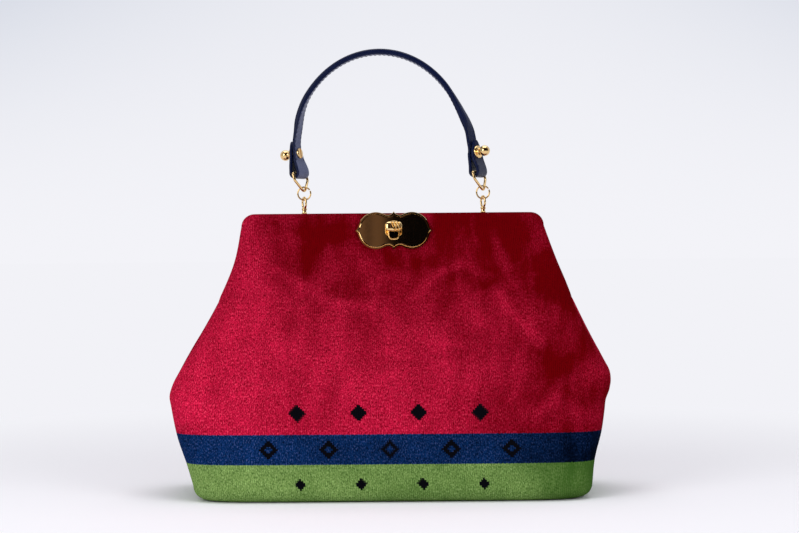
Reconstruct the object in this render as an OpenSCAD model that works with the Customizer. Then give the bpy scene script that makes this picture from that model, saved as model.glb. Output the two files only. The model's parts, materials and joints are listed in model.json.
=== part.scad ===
// Velvet frame handbag, standing on its base and closed. The front looks along -Y.
// The velvet body hangs from a hinged steel mouth frame, with a turn lock on the
// front half and a leather handle on linked rings on the rear half.

/* [Body] */
// Height of the bag at its frame, without the handle
body_h = 208; // [198:1:226]
// Width of the base
base_w = 296; // [280:1:320]
// Depth of the base
base_d = 136; // [120:1:150]
// Radius of the rolled edge of the base
base_roll = 10; // [8:1:13]
// Width at the widest point of the sides
ear_w = 334; // [326:1:350]
// Height of the widest point of the sides
ear_z = 78; // [68:1:100]
// Width at the hinge of the frame
hinge_w = 262; // [256:1:272]
// Height of the hinge of the frame
hinge_z = 144; // [138:1:156]
// Width across the top corners before they are rounded
top_w = 223; // [215:1:231]
// Radius of the top corners
corner_r = 10; // [8:1:12]
// Fullness of the front and back beyond a straight slope
belly = 3; // [0:0.5:5]
// Thickness of the velvet with its backing
velvet_t = 2; // [1.4:0.1:2.4]
// Thickness of the board in the base
board_t = 2.5; // [1.5:0.1:4]
// Thickness of the lining
lining_t = 0.8; // [0.5:0.1:1.2]
// Height of the upper edge of the loose lining, from the hinge line
lining_top = -22; // [-40:1:-18]

/* [Frame] */
// Width of each frame strip, front to back
strip_w = 6; // [5:0.5:7]
// Thickness of each frame strip
strip_t = 2; // [1.5:0.1:2.5]
// Outer radius of the bends of the frame
bend_r = 9; // [7:0.5:11]
// Radius of the hinge pins
pin_r = 1.6; // [1.2:0.1:2]
// Radius of the round ends of the frame
lug_r = 5; // [4:0.5:5.5]
// Height of the facing strip inside the mouth
facing_h = 14; // [10:1:18]
// Thickness of the facing strip
facing_t = 1; // [0.6:0.1:1.4]

/* [Lock] */
// Height of the middle of the lock plate, from the top edge of the bag
lock_z = -13.5; // [-17:0.5:-11]
// Radius of the two lobes of the plate
lobe_r = 13.6; // [12:0.1:14]
// Distance of each lobe from the middle
lobe_x = 14.3; // [12.5:0.1:15]
// Radius of the hollows beside the middle points
hollow_r = 5; // [4:0.1:5.4]
// Distance of the hollows from the middle
hollow_x = 4.5; // [4:0.1:5.8]
// Thickness of the plate at its edge
plate_t = 1.2; // [1:0.1:1.6]
// Width of the bevel round the raised field
bevel_w = 0.9; // [0.6:0.1:1.2]
// Height of the raised field over the edge
field_t = 0.7; // [0.4:0.1:1]
// Width of the slot in the plate
slot_w = 6.6; // [6.2:0.1:7]
// Height of the slot in the plate
slot_h = 13.2; // [11:0.1:14]
// Wall of the slot rim
rim_t = 1.1; // [0.8:0.1:1.4]
// Length of the knob's bar
knob_len = 12.8; // [11:0.1:15]
// Width of the knob's bar
knob_w = 6.2; // [5:0.1:6.6]
// Thickness of the knob's bar
knob_t = 4.6; // [3.5:0.1:6]
// Distance from the plate to the front of the knob
knob_reach = 9.4; // [8.6:0.1:11]
// Radius of the knob's spindle
spindle_r = 1.6; // [1.2:0.1:2]
// Length of the latch tongue on the spindle
tongue_len = 13; // [10:0.5:15]

/* [Handle] */
// Distance between the two handle eyes
eye_span = 134; // [128:1:140]
// Height of the hole of the eyes above the frame
eye_rise = 9.3; // [9:0.1:11]
// Outer radius of the eyes
eye_r = 3.6; // [3.2:0.1:4]
// Width of the eyes
eye_w = 2.8; // [2.2:0.1:3.4]
// Outer diameter of the round rings
ring_d = 11; // [10.5:0.1:13]
// Wire diameter of the round rings
ring_wire = 1.4; // [1:0.1:1.6]
// Width of the D-rings over the wire
dring_w = 22.6; // [20:0.2:25]
// Height of the D-rings between wire centres
dring_h = 13.8; // [12:0.1:16]
// Height of the straight sides of the D-rings
dring_side = 5.6; // [5:0.1:7]
// Radius of the round foot of the D-rings
foot_r = 4; // [3:0.1:5]
// Wire diameter of the D-rings
dring_wire = 2; // [1.6:0.1:2.4]
// Height of the top of the strap, from the top edge of the bag
handle_top = 123; // [109:1:139]
// Sideways lean of both strap ends
tab_lean = -3.6; // [-5:0.1:0]
// Further sideways lean of the arch
arch_lean = -6.4; // [-8:0.1:0]
// Width of the strap along the arch
strap_w = 10.5; // [9:0.1:12]
// Width of the strap at the folds
fold_w = 17.5; // [15:0.1:18.4]
// Thickness of one layer of the strap
leaf_t = 2.6; // [2:0.1:3]
// Thickness of the padded arch
pad_t = 5.2; // [4:0.1:6]
// Turn of the strap ends about the vertical
tab_turn = 25; // [0:1:30]
// Height of the studs above the bars of the D-rings
stud_rise = 14.6; // [13:0.1:17]
// Height of the strap's tips above the studs
tip_rise = 9.2; // [7:0.1:11]
// Diameter of the ball of each stud
ball_d = 7.3; // [6:0.1:8.5]
// Diameter of the flange of each stud
flange_d = 9; // [8:0.1:10]
// Diameter of the screw head of each stud
head_d = 8; // [7:0.1:9]

/* [Fits] */
// Half of the gap between the two closed halves
mouth_gap = 0.4; // [0.3:0.05:0.6]
// Radial clearance of pins and spindles
pin_fit = 0.05; // [0.03:0.01:0.1]
// Clearance between layers that lie on each other
lay = 0.3; // [0.2:0.05:0.5]
// Room between the frame and its velvet sleeve
sleeve_gap = 1.5; // [1.3:0.1:1.8]
// Half of the opening at each seam, as an angle round the body
seam_turn = 0.2; // [0.1:0.05:0.4]

/* [Hidden] */
$fn = 48;

// Body form
top_roll = 10;
roll_z = body_h - top_roll;
strip_y = mouth_gap + facing_t + lay;
top_half_d = strip_y + strip_w + velvet_t + 2 * sleeve_gap - lay;
square_base = 7;
square_ear = 5.5;
square_hinge = 2.8;
square_top = 8;
seam_drop = 6;
seam_z = hinge_z - seam_drop;
tail = 12;
side_rise = 5;
tuck_gap = 1;
tuck_in = velvet_t + tuck_gap;
seam_base = 10;
seam_hinge = 14;
peak = 7;
lining_edge = hinge_z + lining_top;

// How the sides curve above the hinge and from the ear to the hinge, and where the skirt ends
shoulder_bow = 1.4;
flank_bow = 1.15;
skirt_share = 0.9;

// Overshoot of a cut, so that it goes right through
through = 1;

// Frame form: the outer line of the strips, as seen from the front
strip_top = body_h - velvet_t - sleeve_gap;
bend_inset = 2;
bend_x = top_w / 2 - velvet_t - bend_r - bend_inset;
leg_rise = 7;
leg_z = hinge_z + leg_rise;
lug_inset = 7;
front_lug_x = hinge_w / 2 - velvet_t - lug_inset;
lug_gap = 0.4;
rear_lug_x = front_lug_x - strip_t - lug_gap;
head_t = 1;
bend_steps = 8;
lug_neck = 1;
lug_shoulder = 0.6;
facing_rise = 4;
facing_in = 3;
facing_tuck = 2;

// Lock form: its place on the front panel and the layers through it
lock_seat = 9.5;
lock_level = body_h + lock_z;
lock_slope = atan((half_d(lock_level - lock_seat) - top_half_d) / (2 * lock_seat));
lock_y = (half_d(lock_level - lock_seat) + top_half_d) / 2;
hollow_y = sqrt(pow(lobe_r + hollow_r, 2) - pow(lobe_x - hollow_x, 2));
meet_x = lobe_x - lobe_r * (lobe_x - hollow_x) / (lobe_r + hollow_r);
point_rise = 0.2;
point_y = lobe_r + point_rise;
tip_out = 1;
tip_root = 4;
tip_slant = 1.4;
plate_z = 0.6;
plate_face = plate_z + plate_t + field_t;
rim_flange = 0.5;
rim_rise = 1.3;
back_w = 22;
back_h = 11;
back_t = 1;
velvet_dip = (lock_y - half_d(lock_level)) * cos(lock_slope);
back_z = -velvet_dip - velvet_t - 2 * lay - back_t;
tongue_t = 1.2;
tongue_w = 5;
tongue_z = back_z - lay - tongue_t;
keeper_w = 16;
keeper_h = 9;
window_w = 8;
window_h = 4;
window_z = 1.5;

// Handle form
axis_y = strip_y + strip_w / 2;
eye_z = body_h + eye_rise;
eye_wall = 1.6;
eye_hole_r = eye_r - eye_wall;
collar_t = 1.2;
collar_out = 1;
ring_r = (ring_d - ring_wire) / 2;
swing_z = eye_z + eye_hole_r - ring_wire / 2 - lay;
ring_z = swing_z + ring_r;
dring_r = dring_wire / 2;
dring_low = ring_z + ring_r - ring_wire / 2 - dring_r - 2 * lay;
dring_swing = asin(-tab_lean / (dring_h * cos(tab_turn)));
dring_stray = dring_h * sin(dring_swing) * tan(tab_turn);
bar_z = dring_low + cos(dring_swing) * (dring_h - foot_r + sqrt(foot_r * foot_r - dring_stray * dring_stray));
stud_z = bar_z + stud_rise;
tip_z = stud_z + tip_rise;
leaf_off = leaf_t / 2 + lay / 2;
fold_r = dring_r + 2 * lay + leaf_t / 2;
arch_rise = body_h + handle_top - pad_t / 2 - stud_z;
tab_x = eye_span / 2;
arch_half = tab_x - leaf_off;

function mix(a, b, t) = a + (b - a) * t;
function clamp(t) = min(1, max(0, t));
function ease(t) = clamp(t) * clamp(t) * (3 - 2 * clamp(t));
function signed_pow(v, p) = sign(v) * pow(abs(v), p);

// Half width of the body at a height: base to ear, ear to hinge, hinge to the top corner
function half_w(z) =
    let (
        shoulder = pow(clamp((body_h - z) / (body_h - hinge_z)), shoulder_bow),
        flank = pow(clamp((z - ear_z) / (hinge_z - ear_z)), flank_bow),
        skirt = ease((ear_z - z) / (skirt_share * ear_z))
    )
    z >= hinge_z ? mix(top_w, hinge_w, shoulder) / 2
    : z >= ear_z ? mix(ear_w, hinge_w, flank) / 2
    : mix(ear_w, base_w, skirt) / 2;

// Half depth of the body at a height, in the middle of the front
function half_d(z) =
    let (t = clamp((roll_z - z) / (roll_z - base_roll)))
    mix(top_half_d, base_d / 2, t) + belly * sin(180 * t);

// How square the plan of the body is at a height
function squareness(z) =
    lookup(z, [[base_roll, square_base], [ear_z, square_ear], [hinge_z, square_hinge], [roll_z, square_top]]);

// Half of the angle that a gusset takes up in the plan, at a height
function seam_u(z) = mix(seam_base, seam_hinge, clamp(z / seam_z));

// Plan of the lower body at row v: 0 to 1 is the rolled edge of the base, 1 to 2 is the wall
function lower_point(u, v, inset) =
    let (
        roll = base_roll - inset,
        z = v <= 1 ? base_roll - roll * cos(90 * v) : mix(base_roll, seam_z, v - 1),
        a = v <= 1 ? base_w / 2 - base_roll + roll * sin(90 * v) : half_w(z) - inset,
        b = v <= 1 ? base_d / 2 - base_roll + roll * sin(90 * v) : half_d(z) - inset,
        p = 2 / squareness(z)
    )
    [a * signed_pow(cos(u), p), -b * signed_pow(sin(u), p), z];

// Front half of the upper body at row v: 0 to 1 is the wall, 1 to 2 rolls over the frame
function upper_point(u, v, inset) =
    let (
        foot = hinge_z + side_rise - (tail + side_rise) * pow(sin(u), 2 / square_hinge),
        turn = clamp(v - 1) * acos(pow(mouth_gap / top_half_d, 2)),
        z = v <= 1 ? mix(foot, roll_z, v) : roll_z + (top_roll - inset) * sqrt(sin(turn)),
        tuck = tuck_in * ease((hinge_z - z) / seam_drop),
        a = v <= 1 ? half_w(z) - inset - tuck
            : half_w(roll_z) - inset - (corner_r - inset) * (1 - sqrt(1 - sin(turn))),
        b = v <= 1 ? half_d(z) - inset - tuck : (top_half_d - inset) * sqrt(cos(turn)),
        p = 2 / squareness(min(z, roll_z))
    )
    [a * signed_pow(cos(u), p), -mouth_gap - (b - mouth_gap) * pow(sin(u), p), z];

function quad(a, b, c, d) = [[a, b, c], [a, c, d]];

// Closed sheet between an outer and an inner grid of points
module sheet(outer, inner) {
    rows = len(outer);
    cols = len(outer[0]);
    skin = rows * cols;
    edge = concat(
        [for (c = [0:cols - 2]) c],
        [for (r = [0:rows - 2]) r * cols + cols - 1],
        [for (c = [cols - 1:-1:1]) (rows - 1) * cols + c],
        [for (r = [rows - 1:-1:1]) r * cols]
    );
    faces = concat(
        [for (r = [0:rows - 2], c = [0:cols - 2])
            let (i = r * cols + c)
            each quad(i, i + 1, i + cols + 1, i + cols)],
        [for (r = [0:rows - 2], c = [0:cols - 2])
            let (i = skin + r * cols + c)
            each quad(i, i + cols, i + cols + 1, i + 1)],
        [for (k = [0:len(edge) - 1])
            let (i = edge[k], j = edge[(k + 1) % len(edge)])
            each quad(j, i, i + skin, j + skin)]
    );
    polyhedron(concat([for (row = outer) each row], [for (row = inner) each row]), faces);
}

// Closed skin through a row of rings, with flat ends
module ring_loft(rings) {
    cols = len(rings[0]);
    last = (len(rings) - 1) * cols;
    faces = concat(
        [for (r = [0:len(rings) - 2], c = [0:cols - 1])
            let (i = r * cols, d = (c + 1) % cols)
            each quad(i + c, i + d, i + cols + d, i + cols + c)],
        [[for (c = [cols - 1:-1:0]) c]],
        [[for (c = [0:cols - 1]) last + c]]
    );
    polyhedron([for (ring = rings) each ring], faces);
}

// Closed skin through a row of rings that ends where it starts
module closed_loft(rings) {
    cols = len(rings[0]);
    count = len(rings);
    faces = [for (r = [0:count - 1], c = [0:cols - 1])
        let (i = r * cols, j = (r + 1) % count * cols, d = (c + 1) % cols)
        each quad(i + c, i + d, j + d, j + c)];
    polyhedron([for (ring = rings) each ring], faces);
}

// Sewn panels of the lower body

// One row of the wall lies at the ear
ear_row = 1 + (ear_z - base_roll) / (seam_z - base_roll);
wall_rows = concat(
    [0, 0.34, 0.67, 1],
    [for (t = [0.13, 0.28, 0.47, 0.67, 0.85, 1]) mix(1, ear_row, t)],
    [for (t = [0.25, 0.5, 0.75, 1]) mix(ear_row, 2, t)]
);
panel_cols = 26;
gusset_cols = 10;
peak_share = 0.2;

function wall_z(v) = v <= 1 ? 0 : mix(base_roll, seam_z, v - 1);

module lower_panel() {
    grid = function (inset) [for (v = wall_rows)
        let (edge = seam_u(wall_z(v)) + seam_turn)
        [for (k = [0:panel_cols]) lower_point(mix(edge, 180 - edge, k / panel_cols), v, inset)]];
    sheet(grid(0), grid(velvet_t));
}

module gusset() {
    grid = function (inset) [for (v = wall_rows)
        let (edge = seam_u(wall_z(v)) - seam_turn)
        [for (k = [0:gusset_cols])
            let (
                side = 2 * k / gusset_cols - 1,
                lift = peak * (1 - abs(side)) * clamp((v - 2) / peak_share + 1)
            )
            lower_point(edge * side, v + lift / (seam_z - base_roll), inset)]];
    sheet(grid(0), grid(velvet_t));
}

module front_lower_panel() {
    color("crimson") lower_panel();
}

module rear_lower_panel() {
    color("crimson") rotate([0, 0, 180]) lower_panel();
}

module right_gusset() {
    color("firebrick") gusset();
}

module left_gusset() {
    color("firebrick") rotate([0, 0, 180]) gusset();
}

base_cols = 90;

// Flat plan of the base, drawn in from the start of its rolled edge
module base_plan(draw_in) {
    a = base_w / 2 - base_roll - draw_in;
    b = base_d / 2 - base_roll - draw_in;
    p = 2 / square_base;
    polygon([for (k = [0:base_cols - 1])
        let (u = 360 * k / base_cols)
        [a * signed_pow(cos(u), p), b * signed_pow(sin(u), p)]]);
}

module base_panel() {
    color("olivedrab") linear_extrude(velvet_t) base_plan(lay);
}

module base_board() {
    color("tan") translate([0, 0, velvet_t]) linear_extrude(board_t) base_plan(2 * lay);
}

// Loose lining bag: up the outside, over its hem and down the inside
lining_cols = 44;
foot_share = 0.08;

module lining() {
    low = velvet_t + board_t + lay;
    out = velvet_t + 2 * lay;
    function ring(z, inset) = [for (k = [0:lining_cols - 1])
        let (u = 360 * k / lining_cols, p = 2 / squareness(z))
        let (a = min(half_w(z), base_w / 2 + z) - inset, b = half_d(z) - inset)
        [a * signed_pow(cos(u), p), -b * signed_pow(sin(u), p), z]];
    foot = base_roll - 2 * lay;
    heights = [0, foot_share, 0.2, 0.35, 0.5, 0.65, 0.8, 0.9, 1];
    function draw(t) = out + foot * pow(1 - clamp(t / foot_share), 2);
    up = [for (t = heights) ring(mix(low, lining_edge, t), draw(t))];
    down = [for (k = [len(heights) - 1:-1:0])
        let (t = heights[k])
        ring(mix(low + lining_t, lining_edge, t), draw(t) + lining_t)];
    color("wheat") ring_loft(concat(up, down));
}

// Mouth frame: bent strips hinged at both ends

// Lean of a leg that leaves the bend smoothly and ends with its outer face at lug_x
function leg_lean(lug_x) =
    let (out = lug_x - bend_x, down = strip_top - bend_r - leg_z)
    acos(bend_r / norm([out, down])) - atan2(down, out);

// Right half of a strip's line from the middle of the bend to the foot of the leg
function half_line(lug_x, inset) =
    let (
        lean = leg_lean(lug_x),
        r = bend_r - inset,
        middle = [bend_x, strip_top - bend_r],
        leg_start = middle + r * [cos(lean), sin(lean)],
        leg_len = (strip_top - bend_r + bend_r * sin(lean) - leg_z) / cos(lean)
    )
    concat(
        [for (k = [0:bend_steps]) let (u = mix(90, lean, k / bend_steps)) middle + r * [cos(u), sin(u)]],
        [leg_start + leg_len * [sin(lean), -cos(lean)]]
    );

function reversed(list) = [for (k = [len(list) - 1:-1:0]) list[k]];
function flipped(points) = [for (p = points) [-p[0], p[1]]];

// Round end of a strip with its pin hole, and the neck up to the leg
module lug() {
    difference() {
        union() {
            rotate([0, 90, 0]) cylinder(r = lug_r, h = strip_t);
            rotate([90, 0, 90])
                linear_extrude(strip_t)
                    polygon([
                        [0, -lug_r * lug_shoulder], [strip_y + strip_w, lug_neck],
                        [strip_y + strip_w, leg_rise + lug_neck], [strip_y, leg_rise + lug_neck],
                        [-lug_r * lug_shoulder, lug_r * lug_shoulder]
                    ]);
        }
        translate([-through, 0, 0])
            rotate([0, 90, 0]) cylinder(r = pin_r + pin_fit, h = strip_t + 2 * through);
    }
}

// A strip, bent down at both ends to round ends whose outer faces are at lug_x
module strip(lug_x) {
    outer = half_line(lug_x, 0);
    inner = half_line(lug_x, strip_t);
    translate([0, strip_y + strip_w, 0])
        rotate([90, 0, 0])
            linear_extrude(strip_w)
                polygon(concat(outer, reversed(inner), flipped(inner), reversed(flipped(outer))));
    translate([lug_x - strip_t, 0, hinge_z]) lug();
    translate([-lug_x, 0, hinge_z]) lug();
}

module front_frame() {
    color("silver") mirror([0, 1, 0]) strip(front_lug_x);
}

module rear_frame() {
    color("silver") strip(rear_lug_x);
}

module hinge_pin() {
    shank_x = rear_lug_x - strip_t - pin_fit;
    shank = front_lug_x + pin_fit - shank_x;
    translate([shank_x, 0, hinge_z]) rotate([0, 90, 0]) {
        cylinder(r = pin_r, h = shank);
        translate([0, 0, -head_t]) cylinder(r = pin_r * 2, h = head_t);
        translate([0, 0, shank]) cylinder(r = pin_r * 2, h = head_t);
    }
}

module right_hinge_pin() {
    color("gray") hinge_pin();
}

module left_hinge_pin() {
    color("gray") mirror([1, 0, 0]) hinge_pin();
}

// Flat band inside the mouth that closes the sleeve round a strip
module facing() {
    foot_z = leg_z + facing_rise;
    foot_x = rear_lug_x - facing_in;
    top_x = bend_x + bend_r - facing_tuck;
    outer = concat(
        [[foot_x, foot_z]],
        [for (k = [0:bend_steps])
            let (u = 90 * k / bend_steps)
            [top_x - bend_r + bend_r * cos(u), strip_top - bend_r + bend_r * sin(u)]]
    );
    inner = [[top_x - facing_h, strip_top - facing_h], [foot_x - facing_h, foot_z]];
    right = concat(inner, outer);
    translate([0, mouth_gap + facing_t, 0])
        rotate([90, 0, 0])
            linear_extrude(facing_t) polygon(concat(right, reversed(flipped(right))));
}

module front_facing() {
    color("wheat") mirror([0, 1, 0]) facing();
}

module rear_facing() {
    color("wheat") facing();
}

// Velvet over the frame

roof_rows = [0, 0.06, 0.12, 0.2, 0.32, 0.46, 0.62, 0.8, 1, 1.15, 1.35, 1.6, 1.85, 2];
roof_cols = 30;

module top_panel() {
    grid = function (inset) [for (v = roof_rows)
        [for (k = [0:roof_cols]) upper_point(180 * k / roof_cols, v, inset)]];
    sheet(grid(0), grid(velvet_t));
}

module front_top_panel() {
    color("crimson") difference() {
        top_panel();
        lock_place() translate([0, 0, back_z]) cylinder(r = spindle_r + 2 * lay, h = plate_z - back_z);
    }
}

module rear_top_panel() {
    color("crimson") difference() {
        mirror([0, 1, 0]) top_panel();
        for (side = [-1, 1])
            translate([side * eye_span / 2, axis_y, strip_top])
                cylinder(r = eye_w / 2 + lay, h = body_h - strip_top + through);
    }
}

// Turn lock: everything sits on the sloping front, with its own Z pointing out

module lock_place() {
    translate([0, -lock_y, lock_level]) rotate([90 - lock_slope, 0, 0]) children();
}

// Solid of the plate's outline: two lobes, hollows beside the middle points, points at the tips
module lobed_solid(h, draw_in) {
    tip = lobe_x + lobe_r + tip_out - tip_slant * draw_in;
    difference() {
        union() {
            for (side = [-1, 1])
                translate([side * lobe_x, 0, 0]) cylinder(r = lobe_r - draw_in, h = h);
            translate([-meet_x, draw_in - point_y, 0]) cube([2 * meet_x, 2 * (point_y - draw_in), h]);
            linear_extrude(h)
                polygon([
                    [-tip, 0], [-lobe_x, tip_root], [lobe_x, tip_root],
                    [tip, 0], [lobe_x, -tip_root], [-lobe_x, -tip_root]
                ]);
        }
        for (side = [-1, 1], up = [-1, 1])
            translate([side * hollow_x, up * hollow_y, -through])
                cylinder(r = hollow_r + draw_in, h = h + 2 * through);
    }
}

// Upright prism with round ends
module round_slot(w, h, t) {
    translate([-w / 2, -(h - w) / 2, 0]) cube([w, h - w, t]);
    for (up = [-1, 1])
        translate([0, up * (h - w) / 2, 0]) cylinder(r = w / 2, h = t);
}

module lock_plate() {
    hole_w = slot_w + 2 * rim_t + 2 * pin_fit;
    hole_h = slot_h + 2 * rim_t + 2 * pin_fit;
    color("gold") lock_place() difference() {
        translate([0, 0, plate_z]) union() {
            lobed_solid(plate_t, 0);
            lobed_solid(plate_t + field_t, bevel_w);
        }
        translate([0, 0, plate_z - through]) round_slot(hole_w, hole_h, plate_t + field_t + 2 * through);
    }
}

module slot_rim() {
    wide = slot_w + 2 * rim_t;
    high = slot_h + 2 * rim_t;
    color("goldenrod") lock_place() difference() {
        union() {
            translate([0, 0, plate_z]) round_slot(wide, high, plate_t + field_t + rim_rise);
            translate([0, 0, plate_face])
                round_slot(wide + 2 * rim_flange, high + 2 * rim_flange, rim_rise / 2);
        }
        translate([0, 0, plate_z - through])
            round_slot(slot_w, slot_h, plate_t + field_t + rim_rise + 2 * through);
    }
}

module lock_backplate() {
    color("silver") lock_place() translate([0, 0, back_z]) difference() {
        translate([-back_w / 2, -back_h / 2, 0]) cube([back_w, back_h, back_t]);
        translate([0, 0, -through]) cylinder(r = spindle_r + pin_fit, h = back_t + 2 * through);
    }
}

knob_ribs = 4;
rib_gap = 0.7;

module turn_knob() {
    base_z = plate_face + knob_reach - knob_t;
    stem_r = slot_w / 2 - 2 * lay;
    rib_pitch = (knob_len - knob_w) / knob_ribs + rib_gap;
    color("gold") lock_place() difference() {
        union() {
            translate([0, 0, tongue_z]) cylinder(r = spindle_r, h = base_z - tongue_z + through);
            translate([0, 0, plate_z]) cylinder(r = stem_r, h = base_z - plate_z);
            translate([0, 0, base_z]) rotate([0, 0, 90]) round_slot(knob_w, knob_len, knob_t);
        }
        for (k = [0:knob_ribs])
            translate([(k - knob_ribs / 2) * rib_pitch - rib_gap / 2, -knob_w, base_z + knob_t - rib_gap])
                cube([rib_gap, 2 * knob_w, 2 * rib_gap]);
    }
}

module latch_tongue() {
    color("silver") lock_place() translate([0, 0, tongue_z]) difference() {
        union() {
            cylinder(r = tongue_w / 2, h = tongue_t);
            translate([0, -tongue_w / 2, 0]) cube([tongue_len - tongue_w / 2, tongue_w, tongue_t]);
        }
        translate([0, 0, -through]) cylinder(r = spindle_r + pin_fit, h = tongue_t + 2 * through);
    }
}

module keeper() {
    color("silver") translate([-keeper_w / 2, strip_y, strip_top - strip_t - keeper_h])
        difference() {
            cube([keeper_w, strip_t, keeper_h]);
            translate([(keeper_w - window_w) / 2, -through, window_z])
                cube([window_w, strip_t + 2 * through, window_h]);
        }
}

// Handle eyes and rings

module handle_eye() {
    translate([0, axis_y, 0]) difference() {
        union() {
            translate([0, 0, strip_top])
                cylinder(r = eye_w / 2, h = eye_z - eye_hole_r - eye_wall / 3 - strip_top);
            translate([0, 0, body_h + lay]) cylinder(r = eye_w / 2 + collar_out, h = collar_t);
            translate([-eye_w / 2, 0, eye_z]) rotate([0, 90, 0]) cylinder(r = eye_r, h = eye_w);
        }
        translate([-eye_w, 0, eye_z]) rotate([0, 90, 0]) cylinder(r = eye_hole_r, h = 2 * eye_w);
    }
}

module left_handle_eye() {
    color("gold") translate([-eye_span / 2, 0, 0]) handle_eye();
}

module right_handle_eye() {
    color("gold") translate([eye_span / 2, 0, 0]) handle_eye();
}

module round_ring() {
    translate([0, axis_y, ring_z])
        rotate([90, 0, 0])
            rotate_extrude() translate([ring_r, 0]) circle(r = ring_wire / 2);
}

module left_round_ring() {
    color("gold") translate([-eye_span / 2, 0, 0]) round_ring();
}

module right_round_ring() {
    color("gold") translate([eye_span / 2, 0, 0]) round_ring();
}

// D-ring in its own plane: bar along Y at the top, straight sides, two legs and a round foot
dring_bend = 1.6;
bend_points = 4;
foot_points = 6;
wire_sides = 12;

dring_half = dring_w / 2 - dring_r;
dring_drop = dring_h - foot_r;
dring_fall = dring_drop - dring_side;
foot_bow = acos(foot_r / norm([dring_half, dring_fall])) - atan2(dring_fall, dring_half);

// Right half of the wire's middle line, from the end of the bar to the lowest point of the foot
dring_right = concat(
    [for (k = [0:bend_points])
        let (u = 90 * (1 - k / bend_points))
        [dring_half - dring_bend * (1 - cos(u)), dring_bend * (sin(u) - 1)]],
    [[dring_half, dring_bend / 2 - dring_side],
        [dring_half - dring_bend / 2 * sin(foot_bow), -dring_side - dring_bend / 2 * cos(foot_bow)]],
    [for (k = [0:foot_points])
        let (u = mix(foot_bow, 90, k / foot_points))
        [foot_r * cos(u), -dring_drop - foot_r * sin(u)]]
);
dring_left = [for (k = [len(dring_right) - 2:-1:0]) [-dring_right[k][0], dring_right[k][1]]];
dring_path = concat(dring_right, dring_left);

function wire_ring(k) =
    let (
        count = len(dring_path),
        here = dring_path[k],
        run = dring_path[(k + 1) % count] - dring_path[(k + count - 1) % count],
        out = [0, -run[1], run[0]] / norm(run)
    )
    [for (j = [0:wire_sides - 1])
        let (a = 360 * j / wire_sides)
        [0, here[0], here[1]] + dring_r * (cos(a) * [1, 0, 0] + sin(a) * out)];

module d_ring_wire() {
    closed_loft([for (k = [0:len(dring_path) - 1]) wire_ring(k)]);
}

// A D-ring hangs from the strap's fold and swings about its bar until it meets its round ring
module d_ring(side) {
    translate([tab_lean + side * tab_x, axis_y, bar_z])
        rotate([0, 0, -tab_turn])
            rotate([0, -dring_swing, 0])
                d_ring_wire();
}

module left_d_ring() {
    color("gold") d_ring(-1);
}

module right_d_ring() {
    color("gold") d_ring(1);
}

// Handle strap

// Place along the strap as [x, z, width, thickness, turn, pivot offset]
function leaf_gap(z) = mix(fold_r, leaf_off, ease((z - bar_z) / (stud_rise - fold_h)));
function leaf_w(z) = mix(fold_w, strap_w, ease((z - bar_z - fold_h) / (stud_rise + taper_h)));
function strap_mid(z) = tab_lean + arch_lean * ease((z - bar_z) / lean_h);
function arch_pad(z) = mix(leaf_t, pad_t, ease((z - tip_z - pad_start) / pad_run));
function arch_turn(z) = tab_turn * (1 - ease((z - tip_z) / untwist_h));

fold_h = 3;
taper_h = 2;
lean_h = 60;
pad_start = 3;
pad_run = 14;
untwist_h = 45;
tip_end = 0.06;
tip_share = 2;
leaf_steps = 6;
tip_steps = 7;
fold_steps = 8;
arch_steps = 36;

// One folded end from its tip to the fold; side is -1 on the left
function tab_path(side) = concat(
    [for (k = [0:tip_steps - 1])
        let (
            t = k / tip_steps,
            z = mix(tip_z, bar_z, t),
            tip = sqrt(clamp(tip_end + t * tip_steps / tip_share)),
            off = side * leaf_gap(z)
        )
        [strap_mid(z) + side * tab_x + off, z, leaf_w(z) * tip, leaf_t, tab_turn, off]],
    [for (k = [0:fold_steps])
        let (u = 180 * k / fold_steps, off = fold_r * cos(u))
        [tab_lean + side * (tab_x + off), bar_z - fold_r * sin(u), fold_w, leaf_t, tab_turn, side * off]],
    [for (k = [1:leaf_steps - 1])
        let (z = mix(bar_z, stud_z, k / leaf_steps))
        [strap_mid(z) + side * (tab_x - leaf_gap(z)), z, leaf_w(z), leaf_t, tab_turn, -side * leaf_gap(z)]]
);

arch_path = [for (k = [0:arch_steps])
    let (u = 180 - 180 * k / arch_steps, z = stud_z + arch_rise * sin(u))
    [strap_mid(z) + arch_half * cos(u), z, leaf_w(z), arch_pad(z), arch_turn(z), -sign(cos(u)) * leaf_off]];

strap_path = concat(tab_path(-1), arch_path, reversed(tab_path(1)));

// Section of the strap: across its width, and through its thickness with a rounded outer side
strap_section = [
    [-0.9, -0.5], [-1, -0.2], [-1, 0.15], [-0.8, 0.4], [-0.4, 0.5], [0.4, 0.5], [0.8, 0.4], [1, 0.15],
    [1, -0.2], [0.9, -0.5]
];

function strap_ring(k) =
    let (
        here = strap_path[k],
        back = strap_path[max(0, k - 1)],
        next = strap_path[min(len(strap_path) - 1, k + 1)],
        run = [next[0] - back[0], next[1] - back[1]],
        along = run / norm(run),
        turn = here[4],
        pivot = here[5],
        middle = [here[0] + pivot * (cos(turn) - 1), axis_y - pivot * sin(turn), here[1]],
        across = [sin(turn), cos(turn), 0],
        outward = [-along[1] * cos(turn), along[1] * sin(turn), along[0]]
    )
    [for (p = strap_section) middle + across * p[0] * here[2] / 2 + outward * p[1] * here[3]];

module handle_strap() {
    color("midnightblue") difference() {
        ring_loft([for (k = [0:len(strap_path) - 1]) strap_ring(k)]);
        for (side = [-1, 1])
            stud_place(side)
                translate([0, 0, -stack - 2 * through])
                    cylinder(r = stud_r + lay / 2, h = 2 * stack + 4 * through);
    }
}

// Ball studs: their own Z points out of the strap's outer layer

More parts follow.
